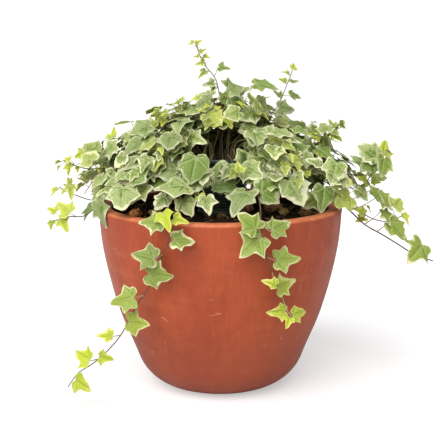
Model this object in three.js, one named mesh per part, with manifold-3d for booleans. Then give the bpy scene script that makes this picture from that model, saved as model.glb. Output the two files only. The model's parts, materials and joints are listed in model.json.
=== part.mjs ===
// A variegated ivy in a small nursery pot that stands on a bed of bark in a terracotta planter.
// Millimetres, +Z up. The origin is the middle of the planter's underside, and the front is -Y.
import * as THREE from 'three';
import { mergeVertices } from 'three/addons/utils/BufferGeometryUtils.js';
import Module from 'manifold-3d';

const wasm = await Module();
wasm.setup();

// ---------- Driving dimensions ----------

const FIT = 0.3; // gap between two pieces that rest on or in each other

const PLANTER = {
  height: 228,
  rimRadius: 152.5,
  lipWidth: 17,
  lipRound: 4,
  footRound: 35.5,
  wall: 16,
  floor: 14,
  // The wall's lean: part of the height, part of the rim's radius.
  lean: [[0, 0.603], [0.2, 0.711], [0.4, 0.83], [0.6, 0.9155], [0.8, 0.974], [1, 1]],
  outerLevels: [0, 1.5, 6, 15, 35.5, 91, 137, 182],
  innerLevels: [182, 91, 24],
  floorEdge: { level: 24, inset: 14 }, // where the inside wall turns in to the floor
  segments: 32,
};

const BED = { top: 217.5, sink: 3, edgeGap: 1, slopeWidth: 26 };

const NURSERY = {
  height: 70,
  footRadius: 29,
  footHeight: 3,
  wallRadiusLow: 27.6,
  wallRadiusHigh: 37.5,
  lipRadius: 41,
  lipHeight: 6,
  wall: 1.6,
  floor: 2,
  soilBelowLip: 5,
  soilRound: 2,
  segments: 20,
};

const STEM = { radius: 1.4, sides: 5, span: 25, collar: 2.5, riser: 14, samples: 80 };
const PETIOLE = {
  half: 0.8,
  section: [[-1, -0.6], [0, 1], [1, -0.6]], // its three corners, in halves
  kneeBack: 2.2,
  kneeDrop: 1.2,
  kneeDropAhead: 2.4, // added where the stem lies ahead of the blade's base
  straightOver: 0.55, // a petiole that runs on in line with its blade has no knee
  berth: 1.3, // how wide it counts where others must clear it, in halves
  neckHeight: 1.6, // of its joint with the blade, in halves
  leanBack: 0.4,
  longestLeanBack: 16,
};

// A blade is flat below and rises to its middle: a young one less than an old one.
const BLADE = { youngRise: 0.8, oldRise: 1.4, middle: 0.3, smallest: 6 };

// Half outlines of a blade, from its base to its tip: part of its length across, part along.
const FIVE_LOBES = [[0.45, -0.12], [0.58, 0.36], [0.25, 0.54], [0, 1]];
const THREE_LOBES = [[0.48, 0.24], [0.24, 0.54], [0, 1]];
const THREE_LOBES_UNDER = 19; // shorter blades have three lobes

// Rings of the nursery pot's soil that stems come out of.
const ROOT_RINGS = { outer: 29, middle: 20, inner: 11, core: 3.5 };
const ROOT_SPACING = 4.2;

const AIR = 0.7; // least clear gap between two leaves or stems
const POT_AIR = 3; // least clear gap between a leaf and a pot
const STEM_AIR = 2.2; // least gap from a stem's middle line to the nursery pot's wall

// ---------- The view that the plant is laid out in ----------

// The frame is 447 pixels each way. The eye stands in front of the planter and looks down on it.
const VIEW = { middle: 223.5, focal: 918, pitch: THREE.MathUtils.degToRad(9.98) };
const EYE = new THREE.Vector3(4, -1144, 404);
const VIEW_RIGHT = new THREE.Vector3(1, 0, 0);
const VIEW_UP = new THREE.Vector3(0, Math.sin(VIEW.pitch), Math.cos(VIEW.pitch));
const VIEW_AHEAD = new THREE.Vector3(0, Math.cos(VIEW.pitch), -Math.sin(VIEW.pitch));
const UP = new THREE.Vector3(0, 0, 1);
const FRONT = new THREE.Vector3(0, -1, 0);

// The real point that shows at a pixel of the view and lies in the plane y = depth.
function seen(across, down, depth) {
  const ray = VIEW_AHEAD.clone()
    .addScaledVector(VIEW_RIGHT, (across - VIEW.middle) / VIEW.focal)
    .addScaledVector(VIEW_UP, (VIEW.middle - down) / VIEW.focal);
  return EYE.clone().addScaledVector(ray, (depth - EYE.y) / ray.y);
}

// The pixel that a real point shows at.
function pixelOf(point) {
  const away = point.clone().sub(EYE);
  const scale = VIEW.focal / away.dot(VIEW_AHEAD);
  return new THREE.Vector2(
    VIEW.middle + away.dot(VIEW_RIGHT) * scale,
    VIEW.middle - away.dot(VIEW_UP) * scale,
  );
}

// ---------- Where the plant grows ----------

// Runners laid out in the view. A stem row is [across, down, depth]: a pixel of the view and the
// real y there. A leaf row is [base across, base down, tip across, tip down, age], with age from
// 0, just open, to 1, old.
const VIEW_RUNNERS = {
  front_left_runner: {
    ring: 'outer',
    stem: [[202, 168, -46], [192, 190, -92], [182, 209, -128], [175, 226, -150], [168, 243, -151],
      [160, 261, -146], [146, 292, -132], [133, 311, -125], [125, 329, -119], [111, 347, -113],
      [95, 362, -106], [76, 375, -97], [68, 387, -92]],
    leaves: [[160, 222, 135, 222, 0.9], [163, 213, 170, 233, 0], [174, 219, 191, 223, 0.15],
      [190, 221, 201, 232, 0.7], [174, 240, 198, 241, 0.8], [154, 258, 127, 252, 0.8],
      [149, 274, 176, 278, 0.8], [133, 298, 105, 303, 0.6], [129, 322, 151, 325, 0.5],
      [112, 336, 94, 336, 0.25], [90, 360, 69, 352, 0.2], [100, 357, 117, 359, 0.2],
      [76, 380, 94, 389, 0.1]],
  },
  front_right_runner: {
    ring: 'outer',
    stem: [[241, 172, -52], [255, 188, -98], [260, 205, -130], [261, 222, -151], [263, 239, -153],
      [266, 258, -151], [273, 271, -147], [277, 286, -143], [283, 297, -139], [286, 311, -135],
      [290, 317, -133]],
    leaves: [[256, 229, 236, 210, 0.9], [260, 238, 236, 259, 0.9], [272, 230, 294, 220, 0.9],
      [277, 260, 304, 259, 0.6], [276, 285, 260, 279, 0.3], [278, 288, 298, 278, 0.4],
      [285, 311, 264, 313, 0.3], [293, 315, 310, 311, 0.3], [290, 318, 285, 329, 0.05]],
  },
  right_long_runner: {
    ring: 'outer',
    stem: [[262, 168, -34], [300, 182, -48], [330, 196, -44], [347, 208, -32], [356, 217, -28],
      [364, 224, -26], [381, 234, -24], [392, 238, -22], [404, 250, -20], [419, 256, -18],
      [433, 261, -16]],
    leaves: [[422, 245, 407, 260, 0.7], [391, 223, 406, 237, 0.9], [371, 191, 385, 201, 0.9],
      [380, 197, 394, 208, 0.9], [384, 211, 390, 224, 0.6], [318, 198, 304, 207, 0.8],
      [336, 197, 352, 205, 0.5]],
  },
  right_second_runner: {
    ring: 'middle',
    stem: [[262, 150, 12], [300, 168, 22], [335, 188, 20], [352, 202, 12], [367, 216, 6],
      [384, 221, 2], [401, 220, -2], [406, 213, -4]],
    leaves: [[394, 207, 404, 198, 0.5], [403, 214, 409, 227, 0.15], [364, 214, 350, 205, 0.3],
      [364, 218, 353, 223, 0.15], [367, 206, 371, 213, 1], [357, 190, 368, 200, 1]],
  },
  right_upper_runner: {
    ring: 'middle',
    stem: [[262, 142, 34], [296, 156, 52], [330, 174, 50], [350, 190, 40], [363, 185, 32],
      [371, 175, 26], [377, 164, 22], [382, 153, 20]],
    leaves: [[376, 157, 358, 144, 0.9], [361, 166, 352, 152, 0.9], [383, 155, 389, 137, 0.05],
      [384, 158, 379, 177, 0.6], [372, 163, 359, 170, 0.7], [366, 181, 355, 175, 0.2]],
  },
  upper_right_runner: {
    ring: 'middle',
    stem: [[256, 138, 44], [282, 146, 62], [306, 148, 66], [323, 140, 64], [330, 132, 62],
      [337, 126, 60], [341, 124, 60]],
    leaves: [[326, 131, 321, 118, 0.9], [334, 127, 328, 118, 0.7], [332, 134, 345, 143, 0.3],
      [322, 141, 335, 149, 0.9], [339, 125, 345, 129, 0.5], [313, 133, 315, 119, 0.8],
      [319, 139, 304, 131, 0.15], [311, 147, 320, 157, 0.9]],
  },
  left_top_runner: {
    ring: 'middle',
    stem: [[190, 150, 8], [160, 162, 26], [130, 168, 24], [112, 168, 14], [100, 169, 8],
      [90, 170, 5], [80, 167, 2], [72, 163, 0], [63, 160, -2]],
    leaves: [[115, 146, 94, 156, 0.9], [96, 153, 82, 142, 0.6], [83, 153, 70, 158, 0.2],
      [93, 161, 79, 152, 0.6], [70, 160, 62, 157, 0.1], [69, 164, 70, 178, 0.2],
      [60, 166, 57, 171, 0], [78, 167, 78, 174, 0.3]],
  },
  left_low_runner: {
    ring: 'outer',
    stem: [[186, 164, -20], [150, 180, -44], [118, 194, -50], [95, 207, -44], [82, 217, -40],
      [68, 217, -38], [54, 219, -36], [49, 223, -35]],
    leaves: [[70, 213, 53, 202, 0.35], [56, 212, 45, 207, 0.2], [62, 219, 69, 233, 0.25],
      [52, 221, 51, 231, 0], [98, 203, 104, 227, 0.9], [92, 204, 85, 223, 0.8]],
  },
  left_middle_runner: {
    ring: 'outer',
    stem: [[184, 156, -4], [150, 168, -12], [118, 184, -16], [101, 198, -14], [89, 201, -12],
      [76, 195, -10], [68, 188, -9], [59, 187, -8]],
    leaves: [[71, 184, 66, 177, 0.4], [71, 186, 72, 199, 0.5], [57, 189, 48, 198, 0.05],
      [65, 190, 61, 195, 0.3], [103, 176, 90, 186, 0.8], [109, 184, 84, 200, 0.85],
      [114, 172, 103, 181, 0.9]],
  },
  left_shoot: {
    ring: 'core',
    stem: [[222, 142, 0], [224, 122, 4], [221, 105, 3], [219, 93, 0], [215, 78, 0],
      [207, 72, 0], [205, 67, 0], [201, 58, 0], [197, 48, 0], [195.5, 43, 0]],
    leaves: [[196, 43.5, 204, 39, 0], [193.5, 42, 186, 44.5, 0.1], [197, 50.5, 191, 52, 0.3],
      [200, 52, 206.5, 48.5, 0.3], [199, 56, 192.5, 56.5, 0.4], [203, 57, 211, 58.5, 0.4],
      [204, 62, 194, 65, 0.5], [206, 71, 197, 79.5, 0.6], [219, 67.5, 231.5, 70, 0.7],
      [214, 83, 201, 84.6, 0.8], [214, 87, 210, 94, 0.6]],
  },
  right_shoot: {
    ring: 'core',
    stem: [[234, 142, 6], [252, 128, 12], [268, 118, 14], [277, 107, 11], [283, 94, 9],
      [286, 87, 8], [290, 77, 7], [293, 69, 6]],
    leaves: [[293, 69, 296, 59.5, 0], [289, 73.5, 281, 71.5, 0.5], [292, 73.5, 298.5, 74, 0.5],
      [286, 82, 276, 78, 0.2], [291, 82, 300, 80.5, 0.5], [281, 97, 271, 90, 0.8],
      [290, 95, 302.6, 97.5, 0.8], [279, 108, 297, 110, 0.9], [276, 113, 286, 118, 0.9]],
  },
  front_middle_runner: {
    ring: 'outer',
    stem: [[229, 158, -46], [236, 168, -66], [243, 180, -86], [248, 192, -104]],
    leaves: [[228, 166, 208, 196, 1], [246, 192, 228, 214, 0.9], [240, 172, 237, 159, 0.3]],
  },
  front_right_inner_runner: {
    ring: 'outer',
    stem: [[248, 158, -44], [256, 172, -68], [258, 188, -94], [252, 205, -118]],
    leaves: [[261, 193, 287, 179, 1], [253, 169, 274, 151, 0.9], [247, 162, 239, 147, 0.6]],
  },
  right_front_runner: {
    ring: 'outer',
    stem: [[258, 156, -36], [274, 167, -58], [287, 179, -78], [296, 190, -92]],
    leaves: [[289, 181, 305, 206, 1], [274, 161, 289, 175, 1], [277, 173, 298, 173, 0.9]],
  },
  right_rim_runner: {
    ring: 'outer',
    stem: [[264, 150, -20], [292, 158, -44], [314, 168, -56], [331, 178, -58], [343, 190, -52]],
    leaves: [[324, 188, 322, 210, 0.9], [337, 163, 330, 185, 1], [308, 176, 301, 166, 0.2],
      [338, 177, 354, 184, 0.4], [350, 197, 335, 205, 0.45], [320, 165, 306, 159, 0.8]],
  },
  right_inner_runner: {
    ring: 'middle',
    stem: [[248, 146, -14], [270, 150, -26], [290, 156, -36], [308, 161, -42]],
    leaves: [[299, 153, 297, 135, 0.8], [270, 146, 284, 141, 0.5], [265, 145, 252, 143, 0.5],
      [286, 157, 294, 147, 0.25], [304, 156, 318, 164, 0.7]],
  },
  left_front_inner_runner: {
    ring: 'outer',
    stem: [[212, 158, -46], [206, 170, -68], [201, 182, -88], [198, 193, -102]],
    leaves: [[196, 158, 190, 188, 1], [187, 186, 149, 186, 1], [208, 164, 197, 171, 0.3],
      [191, 188, 197, 198, 0.1], [199, 196, 207, 204, 0.1], [206, 198, 209, 214, 1]],
  },
  left_front_middle_runner: {
    ring: 'outer',
    stem: [[200, 156, -34], [188, 166, -56], [178, 180, -82], [175, 196, -106]],
    leaves: [[176, 169, 150, 172, 0.95], [166, 197, 155, 207, 1], [171, 198, 174, 212, 0.9],
      [183, 200, 191, 214, 0.6], [180, 190, 166, 198, 0.8]],
  },
  left_front_runner: {
    ring: 'outer',
    stem: [[196, 152, -26], [165, 160, -52], [145, 172, -70], [128, 186, -82], [120, 197, -84]],
    leaves: [[131, 180, 149, 166, 1], [146, 186, 129, 204, 0.6], [124, 187, 123, 211, 0.7],
      [129, 176, 115, 169, 0.9]],
  },
  left_inner_runner: {
    ring: 'middle',
    stem: [[196, 146, -12], [168, 151, -26], [146, 156, -36], [130, 161, -40]],
    leaves: [[145, 167, 170, 152, 1], [124, 155, 114, 168, 0.8], [140, 142, 122, 155, 1],
      [164, 143, 149, 151, 0.7]],
  },
  left_back_runner: {
    ring: 'middle',
    stem: [[198, 142, 14], [172, 140, 34], [150, 140, 46], [130, 140, 50], [113, 138, 50]],
    leaves: [[151, 143, 138, 156, 1], [175, 144, 161, 131, 0.3], [138, 139, 116, 132, 0.9],
      [113, 137, 114, 124, 0.2], [111, 138, 105, 132, 0.2]],
  },
  upper_left_runner: {
    ring: 'inner',
    stem: [[210, 136, 14], [192, 128, 34], [176, 124, 46], [164, 122, 50], [155, 125, 50]],
    leaves: [[163, 118, 164, 104, 0.5], [164, 120, 162, 130, 0.1], [155, 127, 149, 116, 0.4],
      [156, 131, 138, 121, 0.9], [191, 118, 181, 129, 0.8]],
  },
  centre_left_runner: {
    ring: 'middle',
    stem: [[213, 146, -16], [206, 140, -20], [198, 136, -20], [191, 134, -18]],
    leaves: [[196, 130, 181, 137, 1], [190, 137, 207, 144, 0.7], [214, 160, 214, 145, 0.5]],
  },
  crown_left_shoot: {
    ring: 'inner',
    stem: [[219, 138, 0], [215, 122, -4], [212, 108, -2], [211, 100, 0]],
    leaves: [[208, 112, 225, 130, 0.4], [210, 101, 192, 107, 1], [225, 108, 210, 102, 0.25]],
  },
  crown_middle_shoot: {
    ring: 'inner',
    stem: [[229, 138, -6], [230, 122, -6], [230, 106, -4], [230, 93, 0]],
    leaves: [[223, 102, 230, 88, 0.6], [233, 108, 244, 93, 0.8], [239, 112, 222, 117, 0.7],
      [228, 88, 251, 83, 0.9]],
  },
  crown_right_shoot: {
    ring: 'inner',
    stem: [[238, 138, 0], [246, 124, 2], [252, 112, 4], [256, 103, 6]],
    leaves: [[255, 105, 247, 92, 0.5], [257, 101, 272, 114, 0.9], [254, 112, 240, 121, 0.8],
      [255, 126, 237, 131, 0.7], [256, 112, 263, 122, 0.4]],
  },
  right_back_runner: {
    ring: 'inner',
    stem: [[246, 136, 18], [262, 131, 38], [280, 130, 50], [295, 129, 54], [306, 128, 56]],
    leaves: [[284, 130, 291, 120, 0.1], [293, 128, 310, 120, 0.7], [300, 123, 308, 131, 0.5],
      [268, 128, 281, 120, 0.6]],
  },
  right_middle_back_runner: {
    ring: 'middle',
    stem: [[252, 142, 18], [278, 144, 24], [300, 148, 22], [322, 153, 18]],
    leaves: [[306, 150, 317, 137, 0.8], [318, 149, 333, 159, 0.6], [288, 143, 297, 133, 0.4]],
  },
};

// Runners laid out by rule, for the back, the far sides and the middle. Azimuth is in degrees from
// +X, turning towards the back. Reach is the tip's distance from the axis, crest the height of the
// stem's highest point, drop the tip's height, and sway how far the tip swings to the left.
const RULE_RUNNERS = {
  right_back_low_runner: {
    azimuth: 24, ring: 'outer', reach: 205, crest: 296, drop: 226, sway: -18, leaves: 7,
  },
  back_right_runner: {
    azimuth: 46, ring: 'outer', reach: 208, crest: 300, drop: 214, sway: 16, leaves: 7,
  },
  back_right_upper_runner: {
    azimuth: 58, ring: 'middle', reach: 150, crest: 326, drop: 286, sway: -14, leaves: 6,
  },
  back_right_trailing_runner: {
    azimuth: 72, ring: 'outer', reach: 176, crest: 286, drop: 128, sway: 18, leaves: 8,
  },
  back_upper_runner: {
    azimuth: 86, ring: 'middle', reach: 146, crest: 330, drop: 288, sway: 12, leaves: 6,
  },
  back_runner: {
    azimuth: 97, ring: 'outer', reach: 204, crest: 294, drop: 206, sway: -16, leaves: 7,
  },
  back_left_trailing_runner: {
    azimuth: 116, ring: 'outer', reach: 178, crest: 288, drop: 104, sway: -20, leaves: 9,
  },
  back_left_upper_runner: {
    azimuth: 122, ring: 'middle', reach: 152, crest: 328, drop: 284, sway: 14, leaves: 6,
  },
  back_left_runner: {
    azimuth: 138, ring: 'outer', reach: 210, crest: 300, drop: 218, sway: 18, leaves: 7,
  },
  left_back_low_runner: {
    azimuth: 159, ring: 'outer', reach: 204, crest: 294, drop: 228, sway: -16, leaves: 7,
  },
  crown_back_shoot: {
    azimuth: 92, ring: 'inner', reach: 46, crest: 352, drop: 350, sway: 6, leaves: 5,
  },
  crown_back_right_shoot: {
    azimuth: 38, ring: 'inner', reach: 78, crest: 344, drop: 330, sway: -8, leaves: 5,
  },
  crown_back_left_shoot: {
    azimuth: 148, ring: 'inner', reach: 78, crest: 344, drop: 328, sway: 8, leaves: 5,
  },
  left_front_upper_runner: {
    azimuth: 214, ring: 'middle', reach: 112, crest: 312, drop: 282, sway: 10, leaves: 5,
  },
  right_front_upper_runner: {
    azimuth: 322, ring: 'middle', reach: 112, crest: 310, drop: 280, sway: -10, leaves: 5,
  },
};

const RULE_LEAF = { longest: 37, shortest: 13, first: 0.3, last: 0.99 };

// Leaves that fill the canopy: where along a stem, from which distance and height, and their length.
const FILL = {
  parts: [0.3, 0.4, 0.5, 0.6, 0.7, 0.8, 0.9],
  nearest: 48,
  lowest: 238,
  length: 23,
};

// Runners whose leaves are all laid out, so that none are added to them.
const OPEN_RUNNERS = ['front_left_runner', 'front_right_runner', 'left_shoot', 'right_shoot',
  'front_middle_runner', 'front_right_inner_runner', 'left_front_inner_runner',
  'crown_left_shoot', 'crown_middle_shoot', 'crown_right_shoot', 'centre_left_runner'];

// Bark chips on the bed: pixel of the view [across, down], depth, size [x, y, z] and turn.
const CHIP_ROUGHNESS = 0.16;
const BARK_CHIPS = [
  { place: [248, 207, -8], size: [8, 6, 8], turn: 20 },
  { place: [273, 207, -4], size: [14, 9, 7], turn: -15 },
  { place: [284, 209, -26], size: [9, 7, 5], turn: 40 },
  { place: [136, 213, -52], size: [11, 8, 7], turn: 65 },
  { place: [155, 208, -40], size: [9, 7, 6], turn: 10 },
  { place: [306, 208, -34], size: [8, 10, 6], turn: -50 },
  { place: [176, 204, 62], size: [11, 8, 7], turn: 30 },
  { place: [262, 203, 74], size: [10, 9, 7], turn: 75 },
];

// ---------- Solids ----------

// A closed solid from a closed geometry, with its faces turned outwards.
function solidFrom(geometry) {
  const bare = geometry.clone();
  bare.deleteAttribute('normal');
  bare.deleteAttribute('uv');
  const merged = mergeVertices(bare, 1e-4);
  const vertices = merged.attributes.position.array;
  const triangles = new Uint32Array(merged.index.array);
  const make = () =>
    new wasm.Manifold(new wasm.Mesh({ numProp: 3, vertProperties: vertices, triVerts: triangles }));
  const solid = make();
  if (solid.volume() > 0) return solid;
  for (let i = 0; i < triangles.length; i += 3) {
    [triangles[i + 1], triangles[i + 2]] = [triangles[i + 2], triangles[i + 1]];
  }
  return make();
}

function geometryFrom(solid) {
  const mesh = solid.getMesh();
  const positions = new Float32Array(mesh.numVert * 3);
  for (let i = 0; i < mesh.numVert; i += 1) {
    for (let k = 0; k < 3; k += 1) positions[3 * i + k] = mesh.vertProperties[mesh.numProp * i + k];
  }
  const geometry = new THREE.BufferGeometry();
  geometry.setAttribute('position', new THREE.BufferAttribute(positions, 3));
  geometry.setIndex(new THREE.BufferAttribute(new Uint32Array(mesh.triVerts), 1));
  geometry.computeVertexNormals();
  return geometry;
}

// A solid of revolution about Z from [radius, height] points that start and end on the axis.
function turned(profile, segments) {
  const points = profile.map(([radius, height]) => new THREE.Vector2(radius, height));
  const geometry = new THREE.LatheGeometry(points, segments).rotateX(Math.PI / 2);
  return geometryFrom(solidFrom(geometry));
}

function named(name, geometry, color, roughness) {
  const material = new THREE.MeshStandardMaterial({ color, roughness, metalness: 0 });
  const mesh = new THREE.Mesh(geometry, material);
  mesh.name = name;
  return mesh;
}

// Repeatable noise from -1 to 1.
function noise(seed) {
  let state = (seed * 2654435761) >>> 0;
  state = Math.imul(state ^ (state >>> 15), state | 1);
  state ^= state + Math.imul(state ^ (state >>> 7), state | 61);
  return (((state ^ (state >>> 14)) >>> 0) / 4294967296) * 2 - 1;
}

// ---------- Planter, bed and nursery pot ----------

// Outside radius of the planter's wall, before its foot is rounded.
function leanRadius(z) {
  const part = THREE.MathUtils.clamp(z / PLANTER.height, 0, 1);
  const upper = Math.max(1, PLANTER.lean.findIndex(([level]) => level >= part));
  const [level0, radius0] = PLANTER.lean[upper - 1];
  const [level1, radius1] = PLANTER.lean[upper];
  const mix = (part - level0) / (level1 - level0);
  return PLANTER.rimRadius * THREE.MathUtils.lerp(radius0, radius1, mix);
}

function planterRadius(z) {
  const below = Math.max(0, 1 - z / PLANTER.footRound);
  return leanRadius(z) - PLANTER.footRound * (1 - Math.sqrt(1 - below * below));
}

function planterInnerRadius(z) {
  return planterRadius(z) - PLANTER.wall;
}

function floorEdgeRadius() {
  return planterInnerRadius(PLANTER.floorEdge.level) - PLANTER.floorEdge.inset;
}

function makePlanter() {
  const { height, rimRadius, lipRound, lipWidth, floor } = PLANTER;
  const profile = [[0, 0]];
  for (const z of PLANTER.outerLevels) profile.push([planterRadius(z), z]);
  profile.push([rimRadius, height - lipRound], [rimRadius - lipRound * 0.3, height - lipRound * 0.3]);
  profile.push([rimRadius - lipRound, height], [rimRadius - lipWidth + lipRound, height]);
  profile.push([rimRadius - lipWidth, height - lipRound]);
  for (const z of PLANTER.innerLevels) profile.push([planterInnerRadius(z), z]);
  profile.push([floorEdgeRadius(), floor], [0, floor]);
  return named('outer_planter', turned(profile, PLANTER.segments), 0xb05238, 0.55);
}

function makeBed() {
  const fit = 2 * FIT; // both turned solids are many-sided, so the bed keeps a little more
  const edge = BED.top - BED.sink;
  const edgeRadius = planterInnerRadius(edge);
  const bottom = PLANTER.floor + FIT;
  const profile = [[0, bottom], [floorEdgeRadius() - fit, bottom]];
  for (const z of [...PLANTER.innerLevels].reverse()) profile.push([planterInnerRadius(z) - fit, z]);
  profile.push([edgeRadius - fit - BED.edgeGap, edge], [edgeRadius - BED.slopeWidth, BED.top]);
  profile.push([0, BED.top]);
  return named('mulch_bed', turned(profile, PLANTER.segments), 0x2a1c14, 0.95);
}

function nurseryInnerRadius(z) {
  const { wallRadiusLow, wallRadiusHigh, footHeight, height, lipHeight, wall } = NURSERY;
  const mix = (z - footHeight) / (height - lipHeight - footHeight);
  return THREE.MathUtils.lerp(wallRadiusLow, wallRadiusHigh, mix) - wall;
}

function makeNurseryPot() {
  const { height, footRadius, footHeight, wallRadiusLow, wallRadiusHigh } = NURSERY;
  const { lipRadius, lipHeight, wall, floor, segments } = NURSERY;
  const underLip = height - lipHeight;
  const profile = [[0, 0], [footRadius, 0], [footRadius, footHeight], [wallRadiusLow, footHeight + 1],
    [wallRadiusHigh, underLip], [lipRadius, underLip], [lipRadius, height - 1],
    [lipRadius - 1, height], [lipRadius - wall, height], [nurseryInnerRadius(underLip), underLip - wall],
    [nurseryInnerRadius(floor), floor], [0, floor]];
  return named('nursery_pot', turned(profile, segments), 0x1d3a2a, 0.45);
}

function makeNurserySoil() {
  const top = NURSERY.height - NURSERY.soilBelowLip;
  const bottom = NURSERY.floor + FIT;
  const profile = [[0, bottom], [nurseryInnerRadius(bottom) - 2 * FIT, bottom],
    [nurseryInnerRadius(top) - 3 * FIT, top - 2 * NURSERY.wall],
    [nurseryInnerRadius(top) - NURSERY.soilRound, top], [0, top]];
  return named('nursery_soil', turned(profile, NURSERY.segments), 0x1b120c, 0.95);
}

const NURSERY_BASE = BED.top + FIT;
const SOIL_TOP = NURSERY_BASE + NURSERY.height - NURSERY.soilBelowLip;

function makeBarkChip(chip, index) {
  const geometry = new THREE.IcosahedronGeometry(1, 0);
  geometry.deleteAttribute('normal');
  geometry.deleteAttribute('uv');
  const lump = mergeVertices(geometry, 1e-4);
  const place = lump.attributes.position;
  for (let i = 0; i < place.count; i += 1) {
    const swell = 1 + CHIP_ROUGHNESS * noise(97 * index + i + 1);
    place.setXYZ(i, place.getX(i) * swell, place.getY(i) * swell, place.getZ(i) * swell);
  }
  lump.scale(...chip.size);
  lump.rotateZ(THREE.MathUtils.degToRad(chip.turn));
  lump.computeBoundingBox();
  const mesh = named(`bark_chip_${index + 1}`, geometryFrom(solidFrom(lump)), 0xb08a58, 0.85);
  const spot = seen(...chip.place);
  mesh.position.set(spot.x, spot.y, BED.top + FIT - lump.boundingBox.min.z);
  return mesh;
}

// ---------- Keeping leaves and stems clear of each other ----------

// An obstacle is a few line segments, the triangles of a flat face, and its half thickness.
function obstacle(points, triangles, half, closed) {
  const segments = [];
  const last = closed ? points.length : points.length - 1;
  for (let i = 0; i < last; i += 1) {
    segments.push(new THREE.Line3(points[i], points[(i + 1) % points.length]));
  }
  const box = new THREE.Box3().setFromPoints(points).expandByScalar(half + AIR);
  return { points, segments, triangles, half, box };
}

const scratchA = new THREE.Vector3();
const scratchB = new THREE.Vector3();
const scratchRay = new THREE.Ray();

function pierces(segment, triangle) {
  const length = segment.distance();
  if (length < 1e-6) return false;
  scratchRay.origin.copy(segment.start);
  scratchRay.direction.copy(segment.end).sub(segment.start).divideScalar(length);
  const hit = scratchRay.intersectTriangle(triangle.a, triangle.b, triangle.c, false, scratchA);
  return hit !== null && hit.distanceTo(segment.start) <= length;
}

function faceTooNear(a, b, limit) {
  for (const triangle of b.triangles) {
    for (const segment of a.segments) if (pierces(segment, triangle)) return true;
    for (const point of a.points) {
      triangle.closestPointToPoint(point, scratchA);
      if (scratchA.distanceTo(point) < limit) return true;
    }
  }
  return false;
}

function tooNear(a, b) {
  if (!a.box.intersectsBox(b.box)) return false;
  const limit = a.half + b.half + AIR;
  for (const one of a.segments) {
    for (const other of b.segments) {
      if (one.distanceSqToLine3(other, scratchA, scratchB) < limit * limit) return true;
    }
  }
  return faceTooNear(a, b, limit) || faceTooNear(b, a, limit);
}

// Whether a point is in or against the planter, the bed or the surface below.
function insidePlanter(point) {
  const radius = Math.hypot(point.x, point.y);
  if (point.z < POT_AIR) return true;
  if (point.z > PLANTER.height + POT_AIR || radius > planterRadius(point.z) + POT_AIR) return false;
  return radius > planterInnerRadius(point.z) - POT_AIR || point.z < BED.top + POT_AIR;
}

// A leaf stays clear of the whole nursery pot, and a stem only of its wall.
function insidePots(point) {
  const radius = Math.hypot(point.x, point.y);
  const nurseryTop = NURSERY_BASE + NURSERY.height;
  const inNursery = point.z < nurseryTop + POT_AIR && radius < NURSERY.lipRadius + POT_AIR;
  return inNursery || insidePlanter(point);
}

function insideWalls(point) {
  const radius = Math.hypot(point.x, point.y);
  const { height, lipRadius, wall } = NURSERY;
  const byWall = radius > lipRadius - wall - STEM_AIR && radius < lipRadius + STEM_AIR;
  return (byWall && point.z < NURSERY_BASE + height + STEM_AIR) || insidePlanter(point);
}

// Everything that has grown so far, as obstacles with the name of their runner.
const grown = [];

function isFree(candidate, runner, touching) {
  return !grown.some((other) => {
    if (touching && other.runner === runner && other.kind === 'stem') return false;
    return tooNear(candidate, other);
  });
}

// ---------- Stems ----------

function stemOutsideWalls(stem) {
  for (let length = 0; length <= stem.length; length += 2) {
    if (insideWalls(pointOnStem(stem, length / stem.length))) return false;
  }
  return true;
}

const takenRoots = [];

// A place in the soil near the wanted direction that no other stem uses.
function rootPlace(ring, azimuth) {
  for (let step = 0; step < 60; step += 1) {
    const turn = azimuth + Math.ceil(step / 2) * (step % 2 ? 0.16 : -0.16);
    const place = new THREE.Vector3(Math.cos(turn), Math.sin(turn), 0).multiplyScalar(ROOT_RINGS[ring]);
    if (takenRoots.every((taken) => taken.distanceTo(place) > ROOT_SPACING)) {
      takenRoots.push(place);
      return place.clone().setZ(SOIL_TOP + FIT);
    }
  }
  throw new Error(`no room in the ${ring} ring`);
}

// The stem's curve: straight out of the soil, up a short riser, and along the given points.
function stemCurve(points, nudge) {
  const first = points[0];
  const root = nudge.root;
  const collar = root.clone().setZ(root.z + STEM.collar);
  const riser = root.clone().setZ(root.z + STEM.riser + nudge.lift);
  riser.x += (first.x - root.x) * 0.12 + nudge.across;
  riser.y += (first.y - root.y) * 0.12 + nudge.along;
  return new THREE.CatmullRomCurve3([root, collar, riser, ...points], false, 'centripetal');
}

// A stem is its curve and the evenly spaced points that its many-sided solid runs through.
function stemAlong(curve) {
  const steps = Math.max(4, Math.round(curve.getLength() / STEM.span));
  return { curve, steps, length: curve.getLength(), points: curve.getSpacedPoints(steps) };
}

function pointOnStem(stem, part) {
  const place = THREE.MathUtils.clamp(part, 0, 1) * stem.steps;
  const index = Math.min(Math.floor(place), stem.steps - 1);
  return stem.points[index].clone().lerp(stem.points[index + 1], place - index);
}

function stemObstacles(stem, runner) {
  const { points } = stem;
  const pieces = [];
  for (let i = 0; i + 1 < points.length; i += 1) {
    pieces.push({ ...obstacle([points[i], points[i + 1]], [], STEM.radius, false), runner, kind: 'stem' });
  }
  return pieces;
}

// Small changes to the hidden foot of a stem, tried in turn until it clears the others.
const STEM_NUDGES = [];
const SIDE_STEPS = [[0, 0], [3, 0], [-3, 0], [0, 3], [0, -3], [5, 5], [-5, 5], [5, -5], [-5, -5]];
for (const lift of [0, 5, -4, 10, 16]) {
  for (const [across, along] of SIDE_STEPS) {
    STEM_NUDGES.push({ lift, across, along });
  }
}
const WAY_SHIFTS = [0, -3, 3, -6, 6, -9, 9, -13, 13];

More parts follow.
